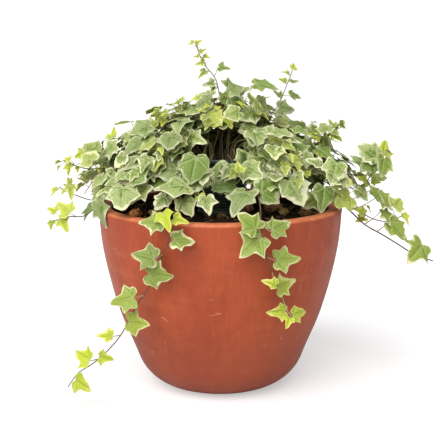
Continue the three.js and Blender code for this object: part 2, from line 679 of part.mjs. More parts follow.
function growStem(name, ring, points) {
  const root = rootPlace(ring, Math.atan2(points[0].y, points[0].x));
  for (const shift of WAY_SHIFTS) {
    // The first stretch of the way is hidden by leaves, so it may lie a little higher or lower.
    const way = points.map((point, i) => {
      const share = Math.max(0, 1 - i / Math.min(4, points.length - 1));
      return point.clone().setZ(point.z + shift * share);
    });
    for (const nudge of STEM_NUDGES) {
      const stem = stemAlong(stemCurve(way, { root, ...nudge }));
      const pieces = stemObstacles(stem, name);
      const clear = pieces.every((piece) => isFree(piece, name, false));
      if (clear && stemOutsideWalls(stem)) {
        grown.push(...pieces);
        return stem;
      }
    }
  }
  console.warn(`${name}: no clear way for its stem`);
  const stem = stemAlong(stemCurve(points, { root, lift: 0, across: 0, along: 0 }));
  grown.push(...stemObstacles(stem, name));
  return stem;
}

function stemSolid(stem) {
  const section = new THREE.Shape();
  for (let i = 0; i < STEM.sides; i += 1) {
    const turn = (i / STEM.sides) * 2 * Math.PI;
    const x = STEM.radius * Math.cos(turn);
    const y = STEM.radius * Math.sin(turn);
    if (i === 0) section.moveTo(x, y);
    else section.lineTo(x, y);
  }
  section.closePath();
  return solidFrom(new THREE.ExtrudeGeometry(section, {
    steps: stem.steps,
    bevelEnabled: false,
    extrudePath: stem.curve,
  }));
}

// ---------- Leaves ----------

// A leaf: base point, unit vector along the midrib, unit normal of its upper side, length, age and
// the point of the stem that its petiole grows from.
function leafShape(leaf) {
  const half = leaf.length < THREE_LOBES_UNDER ? THREE_LOBES : FIVE_LOBES;
  const right = half.map(([across, along]) => new THREE.Vector2(across, along).multiplyScalar(leaf.length));
  const left = right.slice(0, -1).reverse().map((point) => new THREE.Vector2(-point.x, point.y));
  const base = new THREE.Vector2(PETIOLE.half, 0);
  return [base, ...right, ...left, new THREE.Vector2(-base.x, 0)];
}

function leafFrame(leaf) {
  const across = leaf.along.clone().cross(leaf.normal).normalize();
  const rise = THREE.MathUtils.lerp(BLADE.youngRise, BLADE.oldRise, leaf.age);
  const toward = leaf.stemPoint.clone().sub(leaf.base).normalize();
  const ahead = toward.dot(leaf.along);
  if (ahead < -PETIOLE.straightOver) return { across, rise, knee: null };
  const knee = leaf.base.clone()
    .addScaledVector(leaf.along, -PETIOLE.kneeBack)
    .addScaledVector(leaf.normal, -PETIOLE.kneeDrop - PETIOLE.kneeDropAhead * Math.max(0, ahead));
  return { across, rise, knee };
}

// The petiole's way: from the blade's base, round its knee if it needs one, into the stem.
function petioleWay(leaf, frame) {
  return frame.knee ? [leaf.base, frame.knee, leaf.stemPoint] : [leaf.base, leaf.stemPoint];
}

function bladePoint(leaf, frame, flat, lift) {
  return leaf.base.clone()
    .addScaledVector(frame.across, flat.x)
    .addScaledVector(leaf.along, flat.y)
    .addScaledVector(leaf.normal, lift);
}

function leafObstacles(leaf, runner) {
  const frame = leafFrame(leaf);
  const shape = leafShape(leaf);
  const rim = shape.map((flat) => bladePoint(leaf, frame, flat, frame.rise / 2));
  const triangles = THREE.ShapeUtils.triangulateShape(shape, [])
    .map(([a, b, c]) => new THREE.Triangle(rim[a], rim[b], rim[c]));
  const blade = { ...obstacle(rim, triangles, frame.rise / 2, true), runner, kind: 'blade' };
  const reach = PETIOLE.half * PETIOLE.berth;
  const petiole = { ...obstacle(petioleWay(leaf, frame), [], reach, false), runner, kind: 'petiole' };
  return { blade, petiole };
}

function leafIsFree(leaf, runner) {
  const { blade, petiole } = leafObstacles(leaf, runner);
  for (const segment of blade.segments) {
    if (insidePots(segment.start) || insidePots(segment.at(0.5, scratchB))) return null;
  }
  if (petiole.segments.some((segment) => insidePots(segment.at(0.5, scratchB)))) return null;
  if (!isFree(blade, runner, false)) return null;
  if (!isFree(petiole, runner, true)) return null;
  return [blade, petiole];
}

// Rings of three corners, left, top and right, along a petiole. Each ring turns on from the one
// before it, so that the bar between them isn't twisted.
function petioleRings(leaf, frame, firstRing) {
  const way = petioleWay(leaf, frame);
  const headings = way.slice(1).map((point, i) => point.clone().sub(way[i]).normalize());
  const side = frame.across.clone();
  const top = leaf.normal.clone();
  const turn = new THREE.Quaternion();
  let heading = leaf.along.clone().negate();
  const rings = [firstRing];
  for (let i = 1; i < way.length; i += 1) {
    const next = headings[i - 1].clone();
    if (i < headings.length) next.add(headings[i]).normalize();
    turn.setFromUnitVectors(heading, next);
    side.applyQuaternion(turn);
    top.applyQuaternion(turn);
    heading = next;
    rings.push(PETIOLE.section.map(([x, y]) =>
      way[i].clone().addScaledVector(side, x * PETIOLE.half).addScaledVector(top, y * PETIOLE.half)));
  }
  return rings;
}

// The blade is flat below and rises to its middle, and the petiole is a three-sided bar that grows
// out of the blade's base and ends inside the stem.
function leafSolid(leaf) {
  const frame = leafFrame(leaf);
  const shape = leafShape(leaf);
  const rim = shape.map((flat) => bladePoint(leaf, frame, flat, 0));
  const left = rim[rim.length - 1];
  const right = rim[0];
  const peak = bladePoint(leaf, frame, new THREE.Vector2(0, leaf.length * BLADE.middle), frame.rise);
  const neck = bladePoint(leaf, frame, new THREE.Vector2(0, 0), PETIOLE.half * PETIOLE.neckHeight);
  const faces = THREE.ShapeUtils.triangulateShape(shape, [])
    .map(([a, b, c]) => [rim[a], rim[c], rim[b]]);
  for (let i = 0; i + 1 < rim.length; i += 1) faces.push([rim[i], rim[i + 1], peak]);
  faces.push([left, neck, peak], [neck, right, peak]);

  const rings = petioleRings(leaf, frame, [left, neck, right]);
  for (let k = 0; k + 1 < rings.length; k += 1) {
    for (let i = 0; i < 3; i += 1) {
      const j = (i + 1) % 3;
      faces.push([rings[k][i], rings[k + 1][i], rings[k + 1][j]]);
      faces.push([rings[k][i], rings[k + 1][j], rings[k][j]]);
    }
  }
  const [endLeft, endTop, endRight] = rings[rings.length - 1];
  faces.push([endLeft, endRight, endTop]);

  const positions = faces.flat().flatMap((point) => [point.x, point.y, point.z]);
  const geometry = new THREE.BufferGeometry();
  geometry.setAttribute('position', new THREE.Float32BufferAttribute(positions, 3));
  return solidFrom(geometry);
}

// The point of the stem that a petiole grows from: near the blade, and a little nearer the root.
function petioleStart(stem, base) {
  let nearest = 0;
  let gap = Infinity;
  for (let i = 8; i <= STEM.samples; i += 1) {
    const distance = pointOnStem(stem, i / STEM.samples).distanceTo(base);
    if (distance < gap) {
      gap = distance;
      nearest = i / STEM.samples;
    }
  }
  const back = Math.min(gap * PETIOLE.leanBack, PETIOLE.longestLeanBack) / stem.length;
  return pointOnStem(stem, THREE.MathUtils.clamp(nearest - back, 0.08, 0.985));
}

// Depth of the stem where it passes nearest to a pixel of the view.
function stemDepthAt(stem, across, down) {
  const wanted = new THREE.Vector2(across, down);
  let best = null;
  for (let i = 8; i <= STEM.samples; i += 1) {
    const point = pointOnStem(stem, i / STEM.samples);
    const gap = pixelOf(point).distanceTo(wanted);
    if (best === null || gap < best.gap) best = { gap, depth: point.y };
  }
  return best.depth;
}

// How a blade lies in the view: which ways its upper side faces, and how far its tip may lean away.
const VIEW_LIE = { toEye: 0.5, up: 0.36, outward: 0.3, wander: 0.2, steepest: 0.75 };
const DEPTH_SHIFTS = [-8, -12, -4, -16, 0, -20, 4, -25, 8, -30, 13, -36, 18, -42, 24, -48, 30];
const ROLLS = [0, 14, -14, 28, -28];

// A leaf whose base and tip show at two pixels of the view.
function leafInView(row, stem, seed, depthShift, roll, shrink) {
  const [baseAcross, baseDown, tipAcross, tipDown, age] = row;
  const depth = stemDepthAt(stem, baseAcross, baseDown) + depthShift;
  const base = seen(baseAcross, baseDown, depth);
  const scale = base.clone().sub(EYE).dot(VIEW_AHEAD) / VIEW.focal;
  const outward = new THREE.Vector3(base.x, base.y, 0).normalize();
  const wander = new THREE.Vector3(noise(seed), noise(seed + 1), noise(seed + 2));
  const normal = VIEW_AHEAD.clone().multiplyScalar(-VIEW_LIE.toEye)
    .addScaledVector(UP, VIEW_LIE.up)
    .addScaledVector(outward, VIEW_LIE.outward)
    .addScaledVector(wander, VIEW_LIE.wander)
    .normalize();
  const along = VIEW_RIGHT.clone().multiplyScalar((tipAcross - baseAcross) * scale * shrink)
    .addScaledVector(VIEW_UP, (baseDown - tipDown) * scale * shrink);
  const flatLength = along.length();
  const away = -along.dot(normal) / VIEW_AHEAD.dot(normal);
  const furthest = VIEW_LIE.steepest * flatLength;
  along.addScaledVector(VIEW_AHEAD, THREE.MathUtils.clamp(away, -furthest, furthest));
  const length = along.length();
  along.divideScalar(length);
  normal.addScaledVector(along, -normal.dot(along)).normalize();
  normal.applyAxisAngle(along, THREE.MathUtils.degToRad(roll));
  return { base, along, normal, length, age, stemPoint: petioleStart(stem, base) };
}

function growLeafInView(row, stem, runner, seed) {
  for (const shrink of [1, 0.86, 0.72]) {
    for (const depthShift of DEPTH_SHIFTS) {
      for (const roll of ROLLS) {
        const leaf = leafInView(row, stem, seed, depthShift, roll, shrink);
        if (leaf.length < BLADE.smallest) leaf.length = BLADE.smallest;
        const pieces = leafIsFree(leaf, runner);
        if (pieces) {
          grown.push(...pieces);
          return leaf;
        }
      }
    }
  }
  console.warn(`${runner}: no room for the leaf at ${row[0]}, ${row[1]}`);
  return null;
}

// How a blade lies by rule: the ways that its petiole leaves the stem, its tip points and its upper
// side faces.
const RULE_PETIOLE = { lateral: 0.62, up: 0.62, ahead: 0.3, ofLength: 0.55, least: 2 };
const RULE_TIP = {
  outward: 0.55,
  lateral: 0.5,
  lateralWander: 0.35,
  ahead: 0.35,
  up: -0.42,
  upOnTop: -0.14,
  upWander: 0.25,
};
const RULE_FACE = { up: 0.72, outward: 0.6, outwardOnTop: 0.05, frontOnTop: 0.3, wander: 0.3 };
const CANOPY_TOP = { from: 282, over: 36 }; // the height where blades start to lie flatter
const PETIOLE_STRETCH = [1, 1.35, 0.75, 1.8, 0.5, 2.3];
const SWINGS = [0, 22, -22, 44, -44, 66, -66];

// A leaf at a part of the way along a stem, on the given side of it.
function leafByRule(stem, part, side, length, age, seed, stretch, swing) {
  const stemPoint = pointOnStem(stem, part);
  const ahead = stem.curve.getTangentAt(part);
  const outward = new THREE.Vector3(stemPoint.x, stemPoint.y, 0).normalize();
  const top = THREE.MathUtils.clamp((stemPoint.z - CANOPY_TOP.from) / CANOPY_TOP.over, 0, 1);
  const lateral = ahead.clone().cross(UP).normalize().multiplyScalar(side);
  const petiole = lateral.clone().multiplyScalar(RULE_PETIOLE.lateral)
    .addScaledVector(UP, RULE_PETIOLE.up)
    .addScaledVector(ahead, RULE_PETIOLE.ahead)
    .applyAxisAngle(ahead, THREE.MathUtils.degToRad(swing) * side)
    .normalize();
  const petioleLength = length * RULE_PETIOLE.ofLength * stretch + RULE_PETIOLE.least;
  const base = stemPoint.clone().addScaledVector(petiole, petioleLength);
  const along = outward.clone().multiplyScalar(RULE_TIP.outward)
    .addScaledVector(lateral, RULE_TIP.lateral + RULE_TIP.lateralWander * noise(seed))
    .addScaledVector(ahead, RULE_TIP.ahead)
    .addScaledVector(UP, THREE.MathUtils.lerp(RULE_TIP.up, RULE_TIP.upOnTop, top))
    .addScaledVector(UP, RULE_TIP.upWander * noise(seed + 1))
    .normalize();
  const wander = new THREE.Vector3(noise(seed + 2), noise(seed + 3), 0);
  const normal = UP.clone().multiplyScalar(RULE_FACE.up)
    .addScaledVector(outward, THREE.MathUtils.lerp(RULE_FACE.outward, RULE_FACE.outwardOnTop, top))
    .addScaledVector(FRONT, RULE_FACE.frontOnTop * top)
    .addScaledVector(wander, RULE_FACE.wander);
  normal.addScaledVector(along, -normal.dot(along)).normalize();
  return { base, along, normal, length, age, stemPoint };
}

function growLeafByRule(stem, part, side, length, age, runner, seed, shrinks) {
  for (const shrink of shrinks) {
    for (const stretch of PETIOLE_STRETCH) {
      for (const swing of SWINGS) {
        const leaf = leafByRule(stem, part, side, length * shrink, age, seed, stretch, swing);
        const pieces = leafIsFree(leaf, runner);
        if (pieces) {
          grown.push(...pieces);
          return leaf;
        }
      }
    }
  }
  return null;
}

// ---------- Runners ----------

function ruleWay(rule) {
  const turn = THREE.MathUtils.degToRad(rule.azimuth);
  const outward = new THREE.Vector3(Math.cos(turn), Math.sin(turn), 0);
  const leftward = new THREE.Vector3(-Math.sin(turn), Math.cos(turn), 0);
  const at = (part, z) =>
    outward.clone().multiplyScalar(rule.reach * part)
      .addScaledVector(leftward, rule.sway * part * part)
      .setZ(z);
  const level = (part) => THREE.MathUtils.lerp(rule.crest, rule.drop, part);
  if (rule.drop < PLANTER.height - 50) {
    const over = (PLANTER.rimRadius + 10) / rule.reach;
    return [at(0.28, level(-0.02)), at(0.6, rule.crest - 14), at(over - 0.1, PLANTER.height + 18),
      at(over, PLANTER.height - 4), at(1, level(0.7)), at(1, rule.drop)];
  }
  return [at(0.28, level(-0.03)), at(0.5, level(0.02)), at(0.72, level(0.2)),
    at(0.88, level(0.58)), at(1, rule.drop)];
}

function sizeLaw(part) {
  const { longest, shortest } = RULE_LEAF;
  return THREE.MathUtils.lerp(longest, shortest, part ** 1.7);
}

const stems = new Map();
for (const [name, plan] of Object.entries(VIEW_RUNNERS)) {
  stems.set(name, growStem(name, plan.ring, plan.stem.map((row) => seen(...row))));
}
for (const [name, rule] of Object.entries(RULE_RUNNERS)) {
  stems.set(name, growStem(name, rule.ring, ruleWay(rule)));
}

let leafSeed = 100;
const leavesOf = new Map([...stems.keys()].map((name) => [name, []]));

// The longest blades of the view find their places first.
const waiting = [];
for (const [name, plan] of Object.entries(VIEW_RUNNERS)) {
  for (const row of plan.leaves) {
    leafSeed += 7;
    waiting.push({ name, row, seed: leafSeed, length: Math.hypot(row[2] - row[0], row[3] - row[1]) });
  }
}
waiting.sort((a, b) => b.length - a.length);
for (const { name, row, seed } of waiting) {
  const leaf = growLeafInView(row, stems.get(name), name, seed);
  if (leaf) leavesOf.get(name).push(leaf);
}

for (const [name, rule] of Object.entries(RULE_RUNNERS)) {
  for (let i = 0; i < rule.leaves; i += 1) {
    leafSeed += 7;
    const share = (i + 0.5) / rule.leaves;
    const part = THREE.MathUtils.lerp(RULE_LEAF.first, RULE_LEAF.last, share);
    const length = sizeLaw(share) * (1 + 0.1 * noise(leafSeed + 4));
    const age = THREE.MathUtils.clamp(1.05 - share ** 2 + 0.1 * noise(leafSeed + 5), 0, 1);
    const side = i % 2 ? 1 : -1;
    const leaf = growLeafByRule(stems.get(name), part, side, length, age, name, leafSeed, [1, 0.84, 0.7]);
    if (leaf) leavesOf.get(name).push(leaf);
  }
}

// The canopy is filled up with more leaves where there is room, away from its open middle.
for (const [name, stem] of stems) {
  if (OPEN_RUNNERS.includes(name)) continue;
  FILL.parts.forEach((part, i) => {
    leafSeed += 7;
    const place = pointOnStem(stem, part);
    const radius = Math.hypot(place.x, place.y);
    if (radius < FILL.nearest || place.z < FILL.lowest) return;
    const length = FILL.length * (1 + 0.15 * noise(leafSeed + 4));
    const age = 0.75 + 0.25 * noise(leafSeed + 5);
    const leaf = growLeafByRule(stem, part, i % 2 ? -1 : 1, length, age, name, leafSeed, [1, 0.8]);
    if (leaf) leavesOf.get(name).push(leaf);
  });
}

function makeRunner(name) {
  let solid = stemSolid(stems.get(name));
  for (const leaf of leavesOf.get(name)) solid = solid.add(leafSolid(leaf));
  return named(name, geometryFrom(solid), 0x7f9a5c, 0.5);
}

// ---------- The whole object ----------

const ivy = new THREE.Group();
ivy.add(makePlanter());
ivy.add(makeBed());
BARK_CHIPS.forEach((chip, index) => ivy.add(makeBarkChip(chip, index)));

const nursery = new THREE.Group();
nursery.position.z = NURSERY_BASE;
nursery.add(makeNurseryPot());
nursery.add(makeNurserySoil());
ivy.add(nursery);

for (const name of stems.keys()) ivy.add(makeRunner(name));

export default ivy;
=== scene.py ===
import json
import math
from itertools import combinations, permutations

import bpy
import numpy as np
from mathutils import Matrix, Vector, noise

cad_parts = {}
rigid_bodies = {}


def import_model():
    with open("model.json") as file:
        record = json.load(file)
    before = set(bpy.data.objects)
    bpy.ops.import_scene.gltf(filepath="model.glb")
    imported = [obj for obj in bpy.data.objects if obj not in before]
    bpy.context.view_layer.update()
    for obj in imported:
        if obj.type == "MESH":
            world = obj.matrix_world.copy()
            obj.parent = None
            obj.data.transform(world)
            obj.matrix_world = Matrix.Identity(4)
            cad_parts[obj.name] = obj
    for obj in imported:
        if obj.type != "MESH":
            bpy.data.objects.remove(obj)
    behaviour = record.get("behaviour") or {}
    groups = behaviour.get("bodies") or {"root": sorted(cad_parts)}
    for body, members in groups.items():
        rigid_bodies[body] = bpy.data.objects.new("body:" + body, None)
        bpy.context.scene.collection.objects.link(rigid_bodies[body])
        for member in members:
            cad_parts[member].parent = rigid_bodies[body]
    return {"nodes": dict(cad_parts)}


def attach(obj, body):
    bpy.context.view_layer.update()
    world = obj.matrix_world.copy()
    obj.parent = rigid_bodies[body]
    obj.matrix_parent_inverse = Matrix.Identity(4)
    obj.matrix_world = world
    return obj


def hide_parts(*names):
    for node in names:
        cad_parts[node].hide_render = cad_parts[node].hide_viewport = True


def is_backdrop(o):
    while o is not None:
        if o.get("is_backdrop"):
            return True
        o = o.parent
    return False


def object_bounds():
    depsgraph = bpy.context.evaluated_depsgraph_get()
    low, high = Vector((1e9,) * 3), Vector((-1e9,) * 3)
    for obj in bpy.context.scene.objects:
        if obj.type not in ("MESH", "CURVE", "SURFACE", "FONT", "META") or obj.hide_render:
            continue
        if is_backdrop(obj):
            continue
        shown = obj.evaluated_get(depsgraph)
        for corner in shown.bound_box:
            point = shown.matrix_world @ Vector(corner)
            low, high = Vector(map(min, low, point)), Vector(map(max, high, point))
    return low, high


bl_info = {
    "name": "Potted Ivy",
    "version": (1, 0, 0),
    "blender": (4, 5, 0),
    "location": "View3D > Sidebar > Potted Ivy",
    "description": "Dresses a packed potted ivy: planter, bark mulch, nursery pot, runners and studio",
    "category": "Add Mesh",
}

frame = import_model()
CAD_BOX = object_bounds()
NODES = frame["nodes"]
RUNNERS = tuple(name for name in NODES if name.endswith(("_runner", "_shoot")))

# ---------- Sizes of the pots, as the CAD part has them ----------

PLANTER_HEIGHT = 0.228
RIM_RADIUS = 0.1525
LIP_WIDTH = 0.017
LIP_ROUND = 0.0045
FOOT_ROUND = 0.0355
PLANTER_WALL = 0.016
PLANTER_FLOOR = 0.014
INNER_ROUND = 0.012  # how much the inside's lowest corner is cut
# The wall's lean: part of the height, part of the rim's radius.
LEAN = ((0, 0.603), (0.2, 0.711), (0.4, 0.83), (0.6, 0.9155), (0.8, 0.974), (1, 1))

BED_TOP = 0.2175
BED_SINK = 0.003
BED_EDGE = RIM_RADIUS - LIP_WIDTH - 0.0022
BED_SLOPE = 0.026  # the bed sinks over this width at its edge
BED_QUIET = 0.034  # the bed is nearly flat under the nursery pot
BED_FADE = 0.006  # no lumps at its very edge
BED_LUMPS = 95  # how close the lumps are
BED_LUMP_HEIGHT, SOIL_LUMP_HEIGHT = 0.0042, 0.0022  # of the mulch and of the nursery soil
BED_SEGMENTS, POT_SEGMENTS = 96, 128
NURSERY_BASE = 0.2178
NURSERY_HEIGHT = 0.07
NURSERY_LIP = 0.006  # height of the rolled lip
NURSERY_FOOT_HEIGHT = 0.0042
# The foot's outline: radius, and height over the pot's base.
NURSERY_FOOT = ((0.0, 0.0), (0.0282, 0.0), (0.0288, 0.0003), (0.029, 0.001), (0.029, 0.0022),
                (0.0286, 0.003))
NURSERY_LOW, NURSERY_HIGH = 0.0276, 0.0375  # the wall's radius above the foot and under the lip
NURSERY_RADIUS = 0.041
NURSERY_WALL = 0.0016
NURSERY_SOIL = 0.2828
NURSERY_SOIL_EDGE = 0.0338

# ---------- Sizes by which a CAD runner's leaves and stem are found ----------

PETIOLE_BAR = 0.0016
NECK_HEIGHT = 0.00128
STEM_RADIUS = 0.0014
ROOT_LEVEL = 0.2831
FIVE_LOBED_FROM = 0.019
# Lobes and notches of a blade's half outline: part of its length across, part along.
CAD_FIVE_LOBES = ((0.45, -0.12), (0.58, 0.36), (0.25, 0.54))
CAD_THREE_LOBES = ((0.48, 0.24), (0.24, 0.54))
SHORTEST_BLADE = 0.0055
BLADE_MIDDLE = 0.3
HIGHEST_MIDDLE = 0.0016
YOUNG_RISE = 0.0008
AGE_RISE = 0.0006
KNEE_BACK = 0.0022
KNEE_DEEPEST, KNEE_HIGHEST = -0.0042, -0.0008
RING_GAP = 0.0021  # vertices of one ring of a stem are nearer to each other
LONGEST_BIT = 0.062  # of a stem, from one ring to the next
# How far a vertex may be from where it is looked for.
PLANE_SLACK, LEVEL_SLACK, TIP_SLACK, CORNER_SLACK = 2e-5, 3e-5, 6e-5, 8e-5
RING_SLACK, KNEE_SLACK = 1e-4, 3e-4
TINY, THINNEST = 1e-12, 1e-16  # areas and squares below these count as nothing
SAME_WAY = 0.99999  # two normals of one plane
FEWEST_TRIANGLES = 4  # a leaf's underside has more
MOST_TRIED = 11  # vertices of a ring, when its centre is looked for

# ---------- Leaves ----------

# Half outlines of the grown leaves, from the stalk to the tip. The third number is 1 at a point.
BROAD = (
    (0.012, -0.012, 1), (0.10, -0.115, 0), (0.24, -0.165, 0), (0.385, -0.12, 0), (0.475, 0.0, 0),
    (0.485, 0.13, 0), (0.535, 0.25, 0), (0.60, 0.395, 1), (0.50, 0.475, 0), (0.385, 0.545, 0),
    (0.315, 0.655, 0), (0.235, 0.785, 0), (0.12, 0.92, 0), (0.0, 1.0, 1),
)
FIVE_LOBED = (
    (0.012, -0.012, 1), (0.09, -0.12, 0), (0.23, -0.19, 0), (0.38, -0.16, 0), (0.465, -0.04, 0),
    (0.43, 0.10, 0), (0.50, 0.22, 0), (0.63, 0.385, 1), (0.47, 0.43, 0), (0.315, 0.485, 0),
    (0.245, 0.60, 0), (0.185, 0.76, 0), (0.09, 0.91, 0), (0.0, 1.0, 1),
)
THREE_LOBED = (
    (0.012, -0.01, 1), (0.10, -0.09, 0), (0.23, -0.12, 0), (0.34, -0.06, 0), (0.40, 0.06, 0),
    (0.45, 0.15, 0), (0.52, 0.27, 1), (0.38, 0.35, 0), (0.26, 0.45, 0), (0.215, 0.60, 0),
    (0.165, 0.76, 0), (0.08, 0.91, 0), (0.0, 1.0, 1),
)
LEAF_MIDDLE = (0.0, 0.05)
LEAF_RINGS = (0.0, 0.16, 0.4, 0.64, 0.86, 1.0)
LIGHT_RINGS = (0.0, 0.5, 1.0)  # of the filling leaves, whose outlines have half the points too
LEAF_THICK = 0.0055  # half of a leaf's thickness at its middle, for a leaf one unit long
VEIN_GROOVE = 0.08  # a leaf puffs up between its veins over about this width
VEIN_TURNS = (0.0, 0.98, 1.86)  # main veins, in radians from the tip's
VEIN_STEP = 0.125  # from one side vein to the next
# How many leaf shapes there are of each outline, in the order that a runner picks them.
BROAD_KINDS, POINTED_KINDS, YOUNG_KINDS = 9, 6, 5
ALL_KINDS = BROAD_KINDS + POINTED_KINDS + YOUNG_KINDS

TRAILING = ("front_left_runner", "front_right_runner", "right_long_runner",
            "back_left_trailing_runner", "back_right_trailing_runner")
OUTWARD = "right_long_runner"  # the one that reaches out to the right, with larger leaves
TALL_SHOOTS = ("left_shoot", "right_shoot")
CANOPY_LEVEL, CROWN_LEVEL = 0.272, 0.325  # leaves get smaller and younger between these
SIDE_FROM, SIDE_TO = 0.115, 0.175  # and towards both sides between these
YOUNG_UNTIL = 0.3
# A grown leaf's length and age over its CAD blade's.
LEAF_SWELL, CROWN_SWELL, SIDE_SWELL, YOUNG_SWELL = 1.08, 0.94, 0.97, 0.85
TRAILING_SWELL, OUTWARD_SWELL = 0.9, 1.12
CROWN_YOUTH, SIDE_YOUTH = 0.85, 0.85
LARGE, LARGE_KEPT = 0.032, 0.4  # a longer leaf keeps this part of what it has above LARGE
CROWN_LESS = 0.007  # LARGE is this much less in the crown
OUTWARD_THICKER, SHOOT_THINNER = 1.3, 0.75

FRONT = -0.02  # the front of the canopy starts here, where leaves stand higher and closer
ROOTED_WAY = 0.035  # a runner's first stretch, inside the ring of stems
FILLER_STEP, INNER_STEP = 0.0105, 0.0085
FILLER_FRONT, FRONT_SWELL = -0.06, 1.35  # filling leaves in front of this are larger
FRONT_AGE, FRONT_LONG = 0.75, 0.015  # and the long ones are at least this old
BACKWARDS = 0.03  # a runner whose tip is behind this fills the back of the canopy
INNER_PART, INNER_REACH = 0.85, 0.150  # no inner leaves farther along a stem, or farther out
# No filling leaf comes nearer to the nursery pot or to the planter's rim: reach and height.
NURSERY_REACH, NURSERY_CLEAR = 0.06, 0.296
RIM_REACH, RIM_CLEAR = 0.125, 0.243
# The dark opening over the nursery pot: half its width, its front and back, and its top.
OPENING_HALF, OPENING_DEEP, OPENING_TOP = 0.032, (-0.11, 0.03), 0.322
OPENING_FRONT, OPENING_SILL = -0.064, (0.256, 0.288)  # leaves may stand before the pot here
# The lowest places of inner and of other filling leaves, in the front and behind it.
FRONT_FLOOR, BACK_FLOOR = (0.268, 0.258), (0.236, 0.244)
# Filling leaves: how far from the stem, how high over it, which way they face, and how long.
FILLER_OFF, FILLER_RISE = (0.006, 0.019), (-0.004, 0.010)
FILLER_FACING, FILLER_UNEVEN = (0, -0.2, 0.8), 0.34
FILLER_LENGTH = (0.013, 0.026)
CROWN_CROWDING = 2.4  # more of them at each step of a stem in the crown
# The same of the inner leaves, which hang lower under a stem at the back.
INNER_OFF, FRONT_SINK, BACK_SINK = (0.004, 0.016), (0.004, 0.026), (0.004, 0.042)
INNER_FACING, INNER_UNEVEN = (0, -0.35, 0.7), 0.3
INNER_LENGTH = (0.018, 0.03)

# How much a leaf folds at its middle vein, droops and cups, and its edge ripples and twists.
FOLD, DROOP, CUP = (0.02, 0.16), (0.02, 0.24), (-0.05, 0.3)
YOUNG_FOLD, YOUNG_DROOP = (0.12, 0.36), (-0.05, 0.2)
RIPPLE, TWIST = (0.015, 0.05), (-0.2, 0.2)
POINTED_SHARE = 0.2  # of the grown leaves that don't hang
# A leaf stalk's radius, what it gains with the leaf's length, and its sag.
STALK_THIN, HANGING_STALK_THIN, STALK_THICKENS = 0.00036, 0.00046, 0.005
STALK_SAG = 0.06

# ---------- Bark bits, bark chunks and studio ----------

BIT_KINDS, BIT_SIDES = 6, 6
BIT_RINGS = ((-0.5, 0.55), (-0.2, 1.0), (0.22, 0.9), (0.5, 0.5))  # along the bit, and how wide
# Dark and light tone of the chunks of dry bark.
CHIP_COLOURS = (
    ((150, 104, 70), (238, 192, 138)), ((140, 96, 62), (230, 176, 120)),
    ((190, 148, 74), (255, 238, 160)), ((150, 84, 42), (238, 162, 98)),
)
CHIP_VOXEL = 0.0008
CHIP_SPLITS, SPLIT_DEPTH = 420, 0.0008  # how close and how deep, along the grain
CHIP_LUMPS, LUMP_DEPTH = 150, 0.0011
CHIP_SPARE = 0.001  # how far a chunk may leave its CAD box

FLOOR_HALF = 6.0
FLOOR_GLOW, BACKDROP = 0.44, 1.1  # what only the camera sees
KEY_TOWARDS = (0.35, 0.60, -0.72)
SENSOR_WIDTH = 36  # millimetres
EYE, LOOKS_DOWN = (0.004, -1.144, 0.404), 9.98  # the camera's place, and its pitch in degrees


def tone(red, green, blue):
    """Linear colour from the usual 0 to 255 numbers."""
    parts = [value / 255 for value in (red, green, blue)]
    return tuple(p / 12.92 if p <= 0.04045 else ((p + 0.055) / 1.055) ** 2.4 for p in parts)


def rgba(colour):
    return (*colour, 1.0)


def ink(red, green, blue):
    """The same as tone, for a colour socket."""
    return rgba(tone(red, green, blue))


# ---------- Properties ----------


class PlanterSettings(bpy.types.PropertyGroup):
    clay: bpy.props.FloatVectorProperty(
        name="Clay", description="Main colour of the planter's wall",
        default=tone(183, 85, 51), subtype="COLOR", min=0, max=1)
    dark_clay: bpy.props.FloatVectorProperty(
        name="Dark clay", description="Colour of the wall's darker patches and streaks",
        default=tone(152, 66, 44), subtype="COLOR", min=0, max=1)
    # Colour of the scratches and the lip's wear, and also of the painted highlight on the lip's top
    wear_and_highlight_clay: bpy.props.FloatVectorProperty(
        name="Worn clay", description="Colour of scratches and of the worn lip",
        default=tone(228, 144, 98), subtype="COLOR", min=0, max=1)
    wobble: bpy.props.FloatProperty(
        name="Wobble", description="How far the wall leaves a true circle",
        default=0.0007, min=0, max=0.003, subtype="DISTANCE", unit="LENGTH")
    segments: bpy.props.IntProperty(
        name="Segments", description="Faces around the planter", default=224, min=32, max=400)


class MulchSettings(bpy.types.PropertyGroup):
    soil: bpy.props.FloatVectorProperty(
        name="Soil", description="Colour of the damp soil",
        default=tone(38, 27, 20), subtype="COLOR", min=0, max=1)
    dark_bark: bpy.props.FloatVectorProperty(
        name="Dark bark", description="Colour of the damp bark",
        default=tone(64, 44, 32), subtype="COLOR", min=0, max=1)
    pale_bark: bpy.props.FloatVectorProperty(
        name="Pale bark", description="Colour of the dry bark",
        default=tone(196, 154, 98), subtype="COLOR", min=0, max=1)
    density: bpy.props.FloatProperty(
        name="Bark pieces", description="Pieces of bark on a square metre of bed",
        default=11000, min=0, max=30000)


class NurserySettings(bpy.types.PropertyGroup):
    plastic: bpy.props.FloatVectorProperty(
        name="Plastic", description="Colour of the nursery pot",
        default=tone(28, 54, 40), subtype="COLOR", min=0, max=1)
    ribs: bpy.props.IntProperty(
        name="Ribs", description="Fine ribs up the nursery pot's wall", default=15, min=0, max=40)
    rib_width: bpy.props.FloatProperty(
        name="Rib width", description="How wide one rib is",
        default=0.0016, min=0, max=0.004, subtype="DISTANCE", unit="LENGTH")


